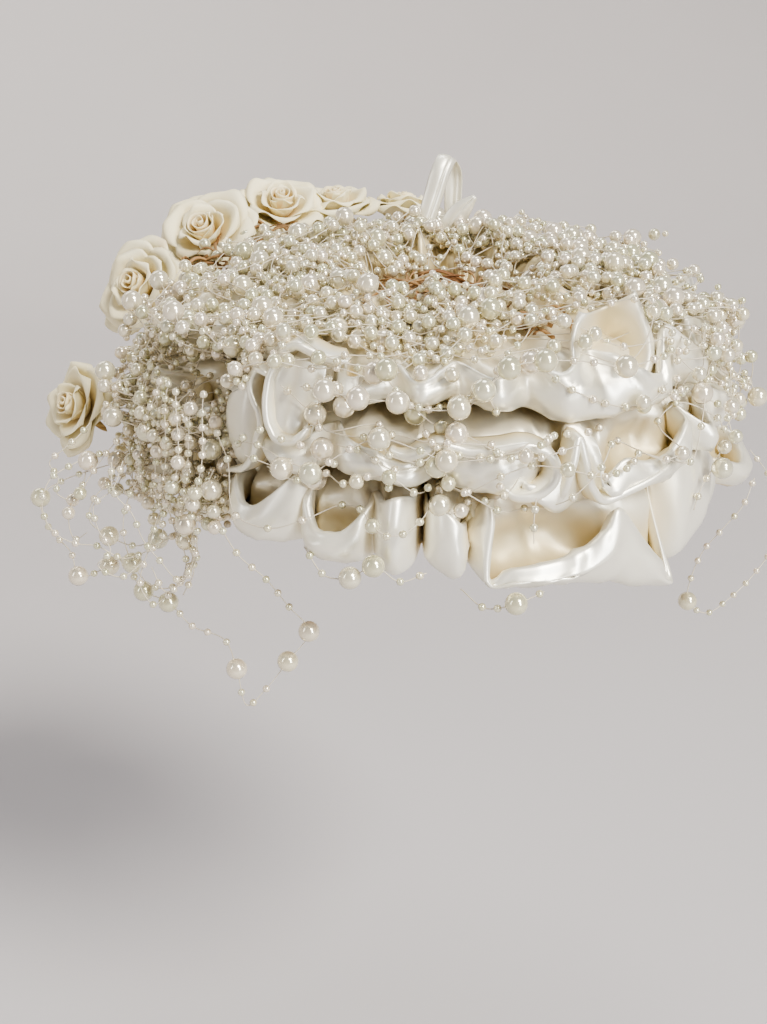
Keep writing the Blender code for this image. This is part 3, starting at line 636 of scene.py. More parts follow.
def satinWrinkles(where, along, random):
    # gathers that fade out from the root, and slanting soft creases between them
    turn = np.radians(where)
    fade = np.clip(1 - along / 0.42, 0, 1) ** 1.3 * np.clip(along * 14, 0, 1)
    drift = np.sin(3 * turn + 1.0) + 0.8 * np.sin(7 * turn + 6 * along) + 0.6 * np.sin(13 * turn - 4 * along)
    pleats = np.sin(satinCloth["gathers"] * turn + 4.5 * drift + 5 * along) ** 3
    pleats = pleats * (0.6 + 0.5 * np.sin(5 * turn + 2 * drift))
    pleats = pleats + 0.5 * np.sin(0.63 * satinCloth["gathers"] * turn + 5 * drift)
    creases = 0
    for wave in range(6):
        slant = random.uniform(-22, 22)
        phase, beat = random.uniform(0, 2 * np.pi), random.integers(9, 34)
        sway = phase + 1.3 * np.sin(4 * turn + phase)
        ridge = 1 - np.abs(np.sin(0.5 * (beat * turn + slant * along + sway)))
        creases = creases + ridge ** 5 * random.uniform(0.5, 1.0)
    band = np.clip(along * 5, 0, 1) * np.clip((0.97 - along) * 12, 0, 1)
    return satinCloth["gatherDepth"] * fade * pleats + satinCloth["creaseDepth"] * band * creases


def paintedValleyShade(radius):
    # painted shade: 1 where a point lies the given depth or more behind the furthest of its neighbours round
    # the tier
    furthest = radius
    for shift in (3, 6, 9, 12):
        furthest = np.maximum(furthest, np.maximum(np.roll(radius, shift, 1), np.roll(radius, -shift, 1)))
    return np.clip((furthest - radius) / satinCloth["valley"] - 0.12, 0, 1.1)


def makeTier(tier):
    # the net read round the tier, then from station to station, and wrinkled along its normal
    rows, net = tierNet(tier)
    points = levelNet(net)
    hem = points[:, 7]
    gap = np.linalg.norm(np.roll(hem, -1, axis=0) - hem, axis=1) + 1.5
    at = runningSum(gap)
    period, at = at[-1], at[:-1]
    wanted = np.arange(satinCloth["around"]) * period / satinCloth["around"]
    lap = np.concatenate((net[-2:] - (360, 0, 0), net, net[:2] + (360, 0, 0)))
    lapAt = np.concatenate((at[-2:] - period, at, at[:2] + period))
    smooth = readBetween(lapAt, lap, wanted, satinCloth["crisp"])
    run = runningSum(np.linalg.norm(np.diff(points, axis=1), axis=2).mean(axis=0))
    share = run / run[-1]
    v = np.concatenate([np.linspace(share[i], share[i + 1], steps, endpoint=False)
                        for i, steps in enumerate(satinCloth["steps"])] + [share[-1:]])
    sheet = readBetween(share, np.swapaxes(smooth, 0, 1), v)
    flatSheet = levelNet(sheet)
    normal = unit(np.cross(np.gradient(flatSheet, axis=1), np.gradient(flatSheet, axis=0)))
    random = np.random.default_rng(hat["seed"] + len(rows))
    lift = satinWrinkles(sheet[..., 0], v[:, None], random)
    flatSheet = flatSheet + normal * lift[..., None]
    # painted shade along the tier: darkest at the root, inside the hem and on the tucked edge, none on the
    # lip, and more in the valleys between folds
    deep = np.clip(np.interp(v, (0, share[3], share[4], share[6], share[7], share[10], share[12]),
                             (1.0, 0.35, 0.75, 1.0, 0.1, 0.0, 0.9)), 0, 1)
    deep = np.maximum(deep[:, None], paintedValleyShade(sheet[..., 1]))
    quads = gridFaces(len(v), satinCloth["around"], closedColumns=True)
    piece = makePiece(tier["name"], [(worn(flatSheet), quads, 0, {"deep": deep})],
                      tier["node"], [satin])
    giveWall(piece, satinCloth["wall"])
    return flatSheet


satinPoints = [makeTier(tier) for tier in tiers]
print("satin tiers gathered")


# Loose folds: single turns of satin that stand out in front of the tiers. Each row of a net goes across the
# fold, in azimuth, radius and height

looseFolds = [
    dict(name="spoonFold", rests="crownRuffle", hollow=0.9, net=[
        [(27.5, 96, -4), (27.5, 99, -3.5), (37, 93, -9.5), (41.5, 99, -8), (46, 96, -10)],
        [(27, 91, 8.5), (26.5, 95, 9), (42.5, 84, -1), (46, 98, -0.5), (54, 93, -4)],
        [(28.5, 88, 17), (28, 92, 17.5), (44, 80, 7.5), (47, 96, 9), (54.5, 91, 5)],
        [(30.5, 87, 21.5), (31, 90, 21.5), (38, 85, 20), (44.5, 91, 25), (46.5, 88, 25)]]),
    dict(name="sideFold", rests="middleRuffle", hollow=0.35, net=[
        [(-36, 102, 7), (-33.5, 102, 8.5), (-31, 101, 9.5), (-29, 99, 8), (-26, 95, 6)],
        [(-36.3, 106, 0), (-33.5, 105.5, 1), (-31, 103, 1.5), (-29, 101, 1), (-26, 97, 0)],
        [(-36, 108, -7), (-33.5, 107, -7), (-31.5, 105, -6.5), (-29.5, 103, -6), (-26.5, 98, -6)],
        [(-35, 109, -13), (-33, 109, -14), (-31.5, 108, -14.5), (-29.5, 107, -14), (-27, 101, -13)],
        [(-33.5, 107, -18), (-32, 108, -20), (-31, 108, -21), (-29.5, 107, -20), (-27.5, 103, -18)]]),
]

foldedEdges = [
    dict(name="sideEdge", rests="sideFold", roll=0.9, tail=6.0, route=[
        (-32.5, 102, 9.5), (-34.6, 106, 5), (-34.8, 109, -1.7), (-34.3, 111, -8.2), (-33.2, 112, -13.6),
        (-31.2, 112.5, -17.2), (-28.9, 112, -17.2), (-27.2, 111, -14.6), (-26.3, 109, -12)]),
    dict(name="earEdge", rests="middleRuffle", roll=0.9, tail=6.0, route=[
        (-35.4, 104, 0), (-35.9, 107, 3.6), (-37.2, 107.5, 4.6), (-38.8, 107.5, 2), (-39.3, 108, -3),
        (-38.2, 108.5, -7.1), (-36.8, 109, -10.5), (-36.3, 109.5, -14.4), (-37.1, 110, -19.3),
        (-38.2, 110, -26.8), (-40.9, 110, -32.9), (-46, 109, -37)]),
    dict(name="brimEdge", rests="crownRuffle", roll=1.3, tail=7.0, route=[
        (-37, 100, 6.5), (-34.7, 102, 9), (-32.7, 102.5, 12), (-30.2, 102, 13.8), (-28.3, 101, 12.5),
        (-25.5, 99, 10), (-21, 96, 8.5)]),
    dict(name="hookEdge", rests="middleRuffle", roll=1.5, tail=7.0, route=[
        (-11, 109, -16.5), (-8, 110, -18), (-5, 110, -16), (-2, 109, -14), (3, 109, -16), (8.5, 110, -15.5),
        (13, 111, -14.5), (16, 112, -16.5), (18, 113, -22.5), (17, 113.5, -28.5), (14, 113, -32),
        (11, 112, -32), (9, 110, -29)]),
    dict(name="leafEdge", rests="middleRuffle", roll=1.2, tail=7.0, route=[
        (18.5, 110, -39.5), (20, 112.5, -31), (21.5, 112, -21.5), (23, 109.5, -14.5), (24, 112, -23),
        (25.5, 113, -33), (28, 113, -38), (33, 114, -36), (38.5, 115, -33.5), (43, 114.5, -31),
        (48, 112, -27)]),
]

foldShape = {
    "foldGrid": (34, 44),       # points along and across a fold
    "edgeSteps": 90,
    "arcPoints": 11,            # round the roll
    "legPoints": 6,             # down each side of it
    "taper": 10,                # steps over which an edge thins out at its ends
}


def makeTurn(row, sheet, deep):
    # one turn of satin as one piece with its painted shade and a wall
    piece = makePiece(row["name"], [(worn(sheet), gridFaces(*sheet.shape[:2]), 0, {"deep": deep})],
                      None, [satin])
    giveWall(piece, satinCloth["wall"])
    return sheet


def makeLooseFold(fold):
    # the net read smoothly along and across; its painted shade is greatest down the middle, as strong as the
    # fold's hollow
    corners = levelNet(fold["net"])
    rows, columns = foldShape["foldGrid"]
    along = readBetween(np.arange(len(corners)), corners, np.linspace(0, len(corners) - 1, rows))
    u = np.linspace(-1, 1, columns)
    sheet = readBetween(np.arange(5), np.swapaxes(along, 0, 1), 2 + 2 * u)
    return makeTurn(fold, sheet, fold["hollow"] * np.clip(1 - np.abs(u[:, None] - 0.1) * 1.5, 0, 1))


def makeFoldedEdge(edge):
    # a half round of the roll's radius carried along the route, with a leg on each side running back inside
    steps, roll, tail = foldShape["edgeSteps"], edge["roll"], edge["tail"]
    route = evenPath(edge["route"], steps)
    middle = levelNet(route)
    out = level(route[:, 0], 1.0, 0.0)
    side = unit(np.cross(np.gradient(middle, axis=0), out))
    turn = np.linspace(-np.pi / 2, np.pi / 2, foldShape["arcPoints"])
    leg = np.linspace(1, 0, foldShape["legPoints"], endpoint=False)
    fromEnd = np.minimum(np.arange(steps), np.arange(steps)[::-1])
    ends = np.clip(fromEnd / foldShape["taper"], 0.25, 1)[:, None, None] ** 0.6
    sideways = np.concatenate((-1 - 0.5 * leg, np.sin(turn), 1 + 0.5 * leg[::-1])) * roll
    outward = np.concatenate((-leg * tail, np.cos(turn) * roll, -leg[::-1] * tail))
    sheet = middle[:, None] + ends * (side[:, None] * sideways[:, None] + out[:, None] * outward[:, None])
    # painted shade, darker the further a leg runs back inside
    return makeTurn(edge, sheet, np.clip(-outward / tail, 0, 1))


satinPoints += [makeLooseFold(fold) for fold in looseFolds]
satinPoints += [makeFoldedEdge(edge) for edge in foldedEdges]
print("loose folds turned")


# Satin loop: one ribbon that rises, turns over, comes down and ends in a short flap

satinLoop = {
    # x, y, height over the foot, the direction across it, half width
    "route": [(-8, 54, 0, 0.97, 0.10, -0.20, 3.2), (-5.5, 53, 14, 0.96, 0.10, -0.25, 3.5),
              (-1.5, 54, 28, 0.94, 0.10, -0.35, 3.9), (2.5, 56, 40, 0.92, 0.12, -0.38, 4.0),
              (4.5, 59, 43, 0.92, 0.12, -0.38, 3.9), (6.5, 62, 40, 0.94, 0.10, -0.30, 3.8),
              (7.5, 65, 24, 0.97, 0.10, -0.20, 3.7), (7, 65, 8, 0.97, 0.10, -0.10, 3.6),
              (4, 60, 3, 0.93, 0.10, -0.30, 3.4), (2, 54, 8, 0.80, 0.10, -0.60, 3.6),
              (5.5, 51, 16, 0.69, 0.10, -0.72, 4.4), (10.5, 50, 22.5, 0.69, 0.10, -0.72, 4.0),
              (16, 50, 28, 0.69, 0.10, -0.72, 0.8)],
    "steps": 110,
    "across": 18,
    "cup": 1.6,
    "cutWidth": 0.010,          # metres
}


def makeSatinLoop():
    # middle line + across * half width * u, hollowed by cup * (1 - u^2), with one crease wandering along
    route = evenPath(satinLoop["route"], satinLoop["steps"])
    u = np.linspace(-1, 1, satinLoop["across"])[None, :, None]
    middle, across, half = route[:, None, :3], unit(route[:, None, 3:6]), route[:, None, 6:]
    along = unit(np.gradient(route[:, :3], axis=0))[:, None]
    out = np.cross(across, along)
    v = np.linspace(0, 1, satinLoop["steps"])[:, None, None]
    dent = satinLoop["cup"] * (1 - u ** 2) - 0.7 * np.exp(-((u - 0.35 * np.sin(4 * v)) / 0.10) ** 2)
    points = middle + across * half * u + out * dent
    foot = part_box("satin_loop")[0][2] / hat["metre"] + 0.6
    points[..., 2] += foot - points[..., 2].min()
    # painted shade, strongest down the middle of the cupped ribbon
    deep = 0.25 * (1 - u[..., 0] ** 2)
    piece = makePiece("satinLoop", [(points, gridFaces(*points.shape[:2]), 0, {"deep": deep})],
                      "satin_loop", [satin])
    giveWall(piece, satinCloth["wall"])


makeSatinLoop()
print("satin loop folded")


# Paper roses: a rolled heart and rings of petals whose shoulders curl back to leave a point

roses = {
    # middle, the way it looks, radius
    "places": [((-147, -1, -39), (-0.70, -0.60, 0.40), 16.5), ((-126, 40, 3), (-0.55, -0.72, 0.42), 18.5),
               ((-101, 70, 22), (-0.25, -0.70, 0.67), 20.0), ((-69, 95, 31), (0.08, -0.50, 0.86), 18.5),
               ((-45, 109, 31), (-0.10, -0.20, 0.97), 16.0), ((-13, 121, 28), (0.10, 0.15, 0.98), 15.0)],
    # petals in the ring, rim radius and height as shares, half width in degrees, curl in radians
    "rings": [(2, 0.26, 1.00, 118, 0.4), (3, 0.44, 1.00, 96, 0.9), (3, 0.70, 0.92, 84, 1.7),
              (4, 0.96, 0.74, 68, 2.3), (3, 1.04, 0.46, 70, 2.4)],
    "heightShare": 0.80,
    "petalGrid": 13,
    "heartGrid": (80, 9),
    "heartTurns": 2.6,
    "ringTurn": 47.0,           # degrees from one ring to the next
    "curlFrom": 0.70,
    "wall": 0.35,
    "sepals": 5,
    "sepalWall": 0.4,
}


def roseFrame(place):
    # the foot of the rose and its directions: side, across and the way it looks
    middle, facing, radius = place
    facing = unit(facing)
    side = unit(np.cross(facing, (0.0, 0.0, 1.0)) + (1e-3, 0.0, 0.0))
    foot = np.asarray(middle, float) - facing * radius * roses["heightShare"] / 2
    return foot, side, np.cross(facing, side), facing


def intoRose(frameOf, radius, angle, rise):
    # foot + r cos a side + r sin a across + rise facing
    foot, side, across, facing = frameOf
    return foot + (radius * np.cos(angle))[..., None] * side + (radius * np.sin(angle))[..., None] * across \
        + rise[..., None] * facing


def petal(size, height, ring, start, random):
    # a cup r(v), z(v) as wide as sin(pi v^0.8), whose last part bends outward along a small arc
    count, rimShare, heightShare, halfWidth, curl = ring
    grid = roses["petalGrid"]
    v = np.linspace(0, 1, grid)[:, None]
    u = np.linspace(-1, 1, grid)[None, :]
    rim = size * rimShare * random.uniform(0.93, 1.04)
    top = height * heightShare * random.uniform(0.95, 1.04)
    curl = curl * random.uniform(0.75, 1.2)
    base = min(1.6, 0.5 * rim)
    knee = roses["curlFrom"]

    def cup(share):
        # radius and height a share of the way from base to rim
        return (base + (rim - base) * np.sin(0.5 * np.pi * share) ** 1.25,
                top * (0.12 * share + 0.88 * share ** 1.2))

    low, high = cup(knee - 0.02), cup(knee + 0.02)
    slope = unit(np.array([high[0] - low[0], high[1] - low[1]]))
    r, z = cup(np.minimum(v, knee))
    reach = np.clip((v - knee) / (1 - knee), 0, 1) * (1 - knee) * math.hypot(rim, top)
    bend = curl * (0.35 + 0.65 * np.abs(u) ** 1.6) * np.clip((v - knee) / (1 - knee), 0, 1)
    safe = np.maximum(bend, 1e-3)
    forward, outward = reach * np.sin(safe) / safe, reach * (1 - np.cos(safe)) / safe
    r = r + slope[0] * forward + slope[1] * outward
    z = z + slope[1] * forward - slope[0] * outward
    r = r + 0.045 * size * np.sin(3.1 * u + random.uniform(0, 6)) * v ** 2
    z = z + 0.035 * size * np.sin(4.3 * u + random.uniform(0, 6)) * v ** 2
    z = z - 0.10 * top * u ** 2 * v
    width = np.radians(halfWidth) * (0.32 + 0.68 * np.sin(np.pi * v ** 0.85) ** 0.8)
    angle = start + u * width + 0.12 * v * random.uniform(-1, 1)
    # painted shade, darker towards the petal's foot and on the inner rings
    deep = np.clip(1.1 - v, 0, 1) ** 1.2 * (1.15 - 0.5 * rimShare) + 0 * u
    return r + 0 * u, angle, z + 0 * u, deep


def makeRose(number, place):
    # a rolled heart whose radius grows with its turns, then rings of petals turned against each other
    random = np.random.default_rng(hat["seed"] + number)
    size = place[2]
    height = size * roses["heightShare"]
    frameOf = roseFrame(place)
    steps, rise = roses["heartGrid"]
    turn = np.linspace(0, roses["heartTurns"] * 2 * np.pi, steps)[:, None]
    share = turn / turn[-1]
    v = np.linspace(0, 1, rise)[None, :]
    r = 0.5 + share * 0.20 * size + 0.10 * size * v ** 2 * share
    z = height * (0.30 + v * (0.72 - 0.08 * share + 0.03 * np.cos(2.6 * turn)))
    heart = intoRose(frameOf, r, turn + 0 * v, z)
    # painted shade, darker towards the foot of the rolled heart
    parts = [(heart, gridFaces(steps, rise), 0, {"deep": 1.15 - 0.75 * v})]
    turnBy = random.uniform(0, 6)
    grid = roses["petalGrid"]
    for ring in roses["rings"]:
        turnBy += math.radians(roses["ringTurn"])
        for i in range(ring[0]):
            start = turnBy + 2 * np.pi * i / ring[0] + random.uniform(-0.14, 0.14)
            r, angle, z, deep = petal(size, height, ring, start, random)
            parts.append((intoRose(frameOf, r, angle, z), gridFaces(grid, grid), 0, {"deep": deep}))
    piece = makePiece(f"rose{number}", parts, f"rose_{number}", [paper])
    giveWall(piece, roses["wall"])


def makeSepals():
    # pointed strips under each rose, curling down and out from the calyx
    parts = []
    v = np.linspace(0, 1, 8)[:, None]
    u = np.linspace(-1, 1, 5)[None, :]
    for place in roses["places"]:
        foot, side, across, facing = roseFrame(place)
        foot = foot - 1.4 * facing
        for i in range(roses["sepals"]):
            angle = 2 * np.pi * i / roses["sepals"] + u * 0.42 * (1 - v) ** 0.7
            r = 1.6 + 0.55 * place[2] * v ** 0.9
            z = -2.0 + 0.16 * place[2] * np.sin(1.4 * np.pi * v) + 0 * u
            points = intoRose((foot, side, across, facing), r + 0 * u, angle, z)
            parts.append((points, gridFaces(8, 5), 0, {}))
    giveWall(makePiece("roseSepals", parts, None, [tape]), roses["sepalWall"])


for number, place in enumerate(roses["places"], start=1):
    makeRose(number, place)
    nodes[f"rose_stem_{number}"].data.materials.clear()
    nodes[f"rose_stem_{number}"].data.materials.append(tape)
makeSepals()
print("roses rolled")


# Pearl garland: strands of line with beads, laid over the satin in bundles

garland = {
    "lineRadius": 0.22,
    "seedRadius": 1.5,
    "middleRadius": 2.7,
    "largeRadius": 4.0,
    "pitch": 8.0,
    "gridDegrees": 2.0,
    "lowestDegrees": -60.0,
    "bridgeHeight": 7.0,        # strands cross the bare middle of the crown on top of the loose straw
    "bridgeDegrees": 44.0,      # elevation seen from the hub from which on they do
    "bridgeLeast": 25.0,        # lower elevations are read as this one, where the sine would get too small
    "routeSteps": 120,
    "pushes": 10,
    "easing": 0.6,              # share of an overlap that one push takes away
    "beadGap": 0.15,
    "satinGap": 0.2,
    # quads along an edge of the ball, for radii from the first number and below the second
    "balls": ((2, 0.0, 2.0), (3, 2.0, 3.4), (5, 3.4, 9.0)),
    "ends": (3.0, 2.0),         # bare line before the first seed bead of a string and after the last
    "jitter": 1.2,
    "pearlGap": 0.4,
}

# The route is azimuth, radius and height on the level hat; spread is sideways, layers the highest layer,
# middle and large the shares of such beads. A bundle with a node stands in for that solid
bundles = [
    dict(name="garlandLeftLow", node="pearl_bundle_left_low", strands=17, spread=8.0, layers=17.0,
         middle=0.20, large=0.05, route=[
        (-46, 117, -54), (-66, 121, -57), (-82, 122, -60), (-100, 121, -60), (-116, 120, -57),
        (-134, 120, -55)]),
    dict(name="garlandLeftMiddle", node="pearl_bundle_left_middle", strands=19, spread=9.0, layers=17.0,
         middle=0.22, large=0.05, route=[
        (-52, 114, -30), (-62, 115, -30), (-74, 119, -29), (-88, 119, -26), (-104, 119, -32),
        (-128, 117, -34)]),
    dict(name="garlandLeftTop", node="pearl_bundle_left_top", strands=15, spread=8.0, layers=14.0,
         middle=0.30, large=0.05, route=[
        (-40, 98, 10), (-52, 102, 8), (-66, 107, 2), (-80, 109, 0), (-98, 106, 3)]),
    dict(name="garlandCrown", node="pearl_bundle_crown", strands=14, spread=9.0, layers=13.0, middle=0.30,
         large=0.04, route=[
        (-6, 58, 12), (-40, 62, 13), (-70, 62, 13), (-100, 61, 13), (-130, 60, 13), (-164, 58, 13)]),
    dict(name="garlandBack", node="pearl_bundle_back", strands=18, spread=9.0, layers=13.0, middle=0.26,
         large=0.02, route=[
        (-84, 84, 14), (-110, 83, 13), (-140, 83, 13), (-170, 83, 13), (-200, 83, 13), (-230, 84, 13),
        (-260, 86, 14), (-294, 86, 14)]),
    dict(name="garlandRight", node="pearl_bundle_right", strands=13, spread=8.0, layers=14.0, middle=0.26,
         large=0.03, route=[
        (58, 88, 16), (74, 104, 12), (84, 116, -4), (92, 126, -22), (98, 130, -42)]),
    dict(name="garlandCrownRight", strands=16, spread=10.0, layers=8.0, middle=0.30, large=0.02, route=[
        (-20, 50, 10), (12, 50, 10), (40, 54, 10), (66, 62, 11), (94, 66, 12), (128, 66, 12),
        (168, 60, 12)]),
    dict(name="garlandCrownFront", strands=12, spread=8.0, layers=6.0, middle=0.30, large=0.03, route=[
        (-66, 86, 9), (-46, 84, 9), (-26, 78, 9), (-8, 70, 9), (8, 60, 9), (26, 52, 9)]),
    dict(name="garlandCrownBack", strands=16, spread=6.0, layers=6.0, middle=0.24, large=0.02, route=[
        (70, 46, 10), (110, 41, 10), (150, 40, 10), (190, 40, 10), (230, 40, 10), (270, 43, 10),
        (300, 48, 10)]),
    dict(name="garlandRoseSide", strands=10, spread=5.5, layers=21.0, middle=0.20, large=0.05, route=[
        (-60, 118, -32), (-74, 128, -36), (-88, 133, -42), (-100, 128, -50)]),
    dict(name="garlandFrontLeft", strands=3, spread=9.0, layers=2.0, middle=0.14, large=0.08, route=[
        (-26, 104, -2), (-20, 104, -8), (-4, 104, -12), (8, 104, -14)]),
    dict(name="garlandFrontFine", strands=3, spread=13.0, layers=2.0, middle=0.06, large=0.0, route=[
        (-58, 108, -18), (-38, 108, -24), (-16, 108, -26), (6, 109, -24), (28, 109, -18), (48, 108, -12),
        (66, 110, -8)]),
    dict(name="garlandRightFront", strands=10, spread=10.0, layers=5.0, middle=0.18, large=0.03, route=[
        (50, 92, 10), (60, 98, 9), (70, 108, 2), (78, 114, -12), (84, 121, -28)]),
]


def toPolar(points):
    # azimuth, elevation and distance from the hub of the level hat
    x, y, z = np.moveaxis(points, -1, 0)
    z = z - hat["hubHeight"]
    flat = np.hypot(x, y)
    return np.degrees(np.arctan2(x, -y)), np.degrees(np.arctan2(z, flat)), np.hypot(flat, z)


def fromPolar(azimuth, elevation, distance):
    # the way back: distance cos e outwards, distance sin e above the hub
    up = np.radians(elevation)
    points = level(azimuth, distance * np.cos(up), distance * np.sin(up))
    points[..., 2] += hat["hubHeight"]
    return points


def satinReach():
    # how far the satin reaches from the hub in each direction, the widest in each cell and its neighbours
    cell = garland["gridDegrees"]
    rows, columns = int(360 / cell), int((90 - garland["lowestDegrees"]) / cell) + 1
    reach = np.zeros((rows, columns))
    azimuth, elevation, distance = toPolar(np.concatenate([sheet.reshape(-1, 3) for sheet in satinPoints]))
    i = np.round(azimuth / cell).astype(int) % rows
    j = np.clip(np.round((elevation - garland["lowestDegrees"]) / cell).astype(int), 0, columns - 1)
    np.maximum.at(reach, (i, j), distance)
    for _ in range(3):
        padded = np.pad(reach, ((0, 0), (1, 1)))
        wide = np.maximum(np.maximum(np.roll(reach, 1, 0), np.roll(reach, -1, 0)),
                          np.maximum(padded[:, :-2], padded[:, 2:]))
        reach = np.where(reach > 0, reach, wide)
    up = np.radians(np.maximum(garland["lowestDegrees"] + cell * np.arange(columns), garland["bridgeLeast"]))
    bridge = (garland["bridgeHeight"] - hat["hubHeight"]) / np.sin(up)
    cap = hat["strawWall"] - hat["hubHeight"]
    reach = np.maximum(reach, np.where(up > np.radians(garland["bridgeDegrees"]), bridge, cap))
    return np.maximum(reach, 0.5 * (np.roll(reach, 1, 0) + np.roll(reach, -1, 0)))


satinGrid = satinReach()


def reachAt(azimuth, elevation):
    # the grid read between its four nearest cells
    cell = garland["gridDegrees"]
    a = azimuth / cell
    b = np.clip((elevation - garland["lowestDegrees"]) / cell, 0, satinGrid.shape[1] - 1.001)
    i, j = np.floor(a).astype(int), np.floor(b).astype(int)
    s, t = a - i, b - j
    i, i2 = i % len(satinGrid), (i + 1) % len(satinGrid)
    return ((1 - s) * (1 - t) * satinGrid[i, j] + s * (1 - t) * satinGrid[i2, j]
            + (1 - s) * t * satinGrid[i, j + 1] + s * t * satinGrid[i2, j + 1])


def overSatin(azimuth, elevation, height):
    # the point at the reach of the satin plus a height
    return fromPolar(azimuth, elevation, reachAt(azimuth, elevation) + height)


def beadSizes(random, count, middle, large):
    # a draw below the large share is large, below both shares together middle, else a seed bead
    draw = random.uniform(0, 1, count)
    return np.where(draw < large, garland["largeRadius"],
                    np.where(draw < large + middle, garland["middleRadius"], garland["seedRadius"]))


def layStrands(bundle, random):
    # each strand keeps to the route with its own slow sideways and up-and-down wander
    steps = garland["routeSteps"]
    route = evenPath(levelNet(bundle["route"]), steps)
    length = lengthsAlong(route)[-1]
    azimuth, elevation, distance = toPolar(route)
    azimuth = np.degrees(np.unwrap(np.radians(azimuth)))
    count = bundle["strands"]
    beads = int(length / garland["pitch"])
    where = np.linspace(0, 1, beads)[None, :] + random.uniform(-0.5, 0.5, (count, 1)) / beads
    where = where + wobble(random, (count,), where, (1.3, 2.6), 0.05)
    where = np.clip(where, 0, 1)
    at = np.linspace(0, 1, steps)
    a, e, d = (np.interp(where, at, values) for values in (azimuth, elevation, distance))
    slopeA = np.gradient(azimuth, at) * np.cos(np.radians(elevation))
    slopeE = np.gradient(elevation, at)
    size = np.hypot(slopeA, slopeE)
    acrossA, acrossE = np.interp(where, at, -slopeE / size), np.interp(where, at, slopeA / size)
    side = random.normal(0, 0.75, (count, 1)) * bundle["spread"]
    side = side + wobble(random, (count,), where, (1.2, 2.7, 5.1), bundle["spread"] * 0.8)
    side = side + wobble(random, (count,), where, (0.13 * beads, 0.27 * beads), 3.0)
    turn = np.degrees(side / d)
    a = a + acrossA * turn / np.maximum(np.cos(np.radians(e)), 0.3)
    e = e + acrossE * turn
    crown = np.sqrt(np.clip(1 - (side / (2.4 * bundle["spread"])) ** 2, 0.02, 1))
    layer = random.uniform(0, 1, (count, 1)) ** 1.3 * bundle["layers"] * crown
    layer = layer + np.abs(wobble(random, (count,), where, (3.1, 6.3), 2.2))
    layer = layer * np.clip(np.minimum(where, 1 - where) * 9 + 0.15, 0, 1)
    sizes = beadSizes(random, (count, beads), bundle["middle"], bundle["large"])
    return fromPolar(a, e, reachAt(a, e) + sizes + layer + 0.3), sizes


def settleBeads(points, radii, rounds):
    # beads that overlap move apart along the line between them, and none sinks into the satin
    for _ in range(rounds):
        square = (points ** 2).sum(axis=1)
        apart = square[:, None] + square[None, :] - 2 * points @ points.T
        least = radii[:, None] + radii[None, :] + garland["beadGap"]
        first, second = np.nonzero(np.triu(apart < least ** 2, 1))
        gap = points[second] - points[first]
        far = np.maximum(np.linalg.norm(gap, axis=1), 1e-3)
        push = (gap / far[:, None]) * (0.5 * (least[first, second] - far))[:, None]
        np.add.at(points, first, -garland["easing"] * push)
        np.add.at(points, second, garland["easing"] * push)
        azimuth, elevation, distance = toPolar(points)
        low = reachAt(azimuth, elevation) + radii + garland["satinGap"]
        sunk = distance < low
        points[sunk] = fromPolar(azimuth[sunk], elevation[sunk], low[sunk])
    return points


def beadMesh(points, radii, tints):
    # copies of a quad ball, finer for the larger beads
    parts = []
    for steps, low, high in garland["balls"]:
        chosen = (radii >= low) & (radii < high)
        if chosen.any():
            shape, quads = ball(steps)
            copies = points[chosen][:, None] + radii[chosen][:, None, None] * shape
            starts = np.arange(chosen.sum()) * len(shape)
            allQuads = (quads[None] + starts[:, None, None]).reshape(-1, 4)
            parts.append((copies, allQuads, 0, {"tint": tints[chosen][:, None]}))
    return parts


def lineMesh(path):
    # the nylon line that the beads sit on
    return (*tubeAlong(path, garland["lineRadius"], 4), 1, {"tint": 0.0})


def makeGarland():
    # strands are laid bundle by bundle, all beads settle together, and each bundle is one piece
    random = np.random.default_rng(hat["seed"])
    laid = [layStrands(bundle, random) for bundle in bundles]
    points = np.concatenate([strands.reshape(-1, 3) for strands, sizes in laid])
    radii = np.concatenate([sizes.ravel() for strands, sizes in laid])
    points = settleBeads(points, radii, garland["pushes"])
    start = 0
    for bundle, (strands, sizes) in zip(bundles, laid):
        stop = start + sizes.size
        centres = points[start:stop].reshape(strands.shape)
        parts = beadMesh(worn(points[start:stop]), radii[start:stop], random.uniform(0, 1, sizes.size))
        for strand in centres:
            parts.append(lineMesh(worn(evenPath(strand, 4 * len(strand)))))
        makePiece(bundle["name"], parts, bundle.get("node"), [pearlCoat, nylon])
        start = stop
    print("beads in the bundles:", len(points))


makeGarland()


# Chains that lie over the satin and the bundles. A stop is azimuth and elevation seen from the hub and
# height over the satin; a fourth number sets a pearl there, 1 large and 2 middle

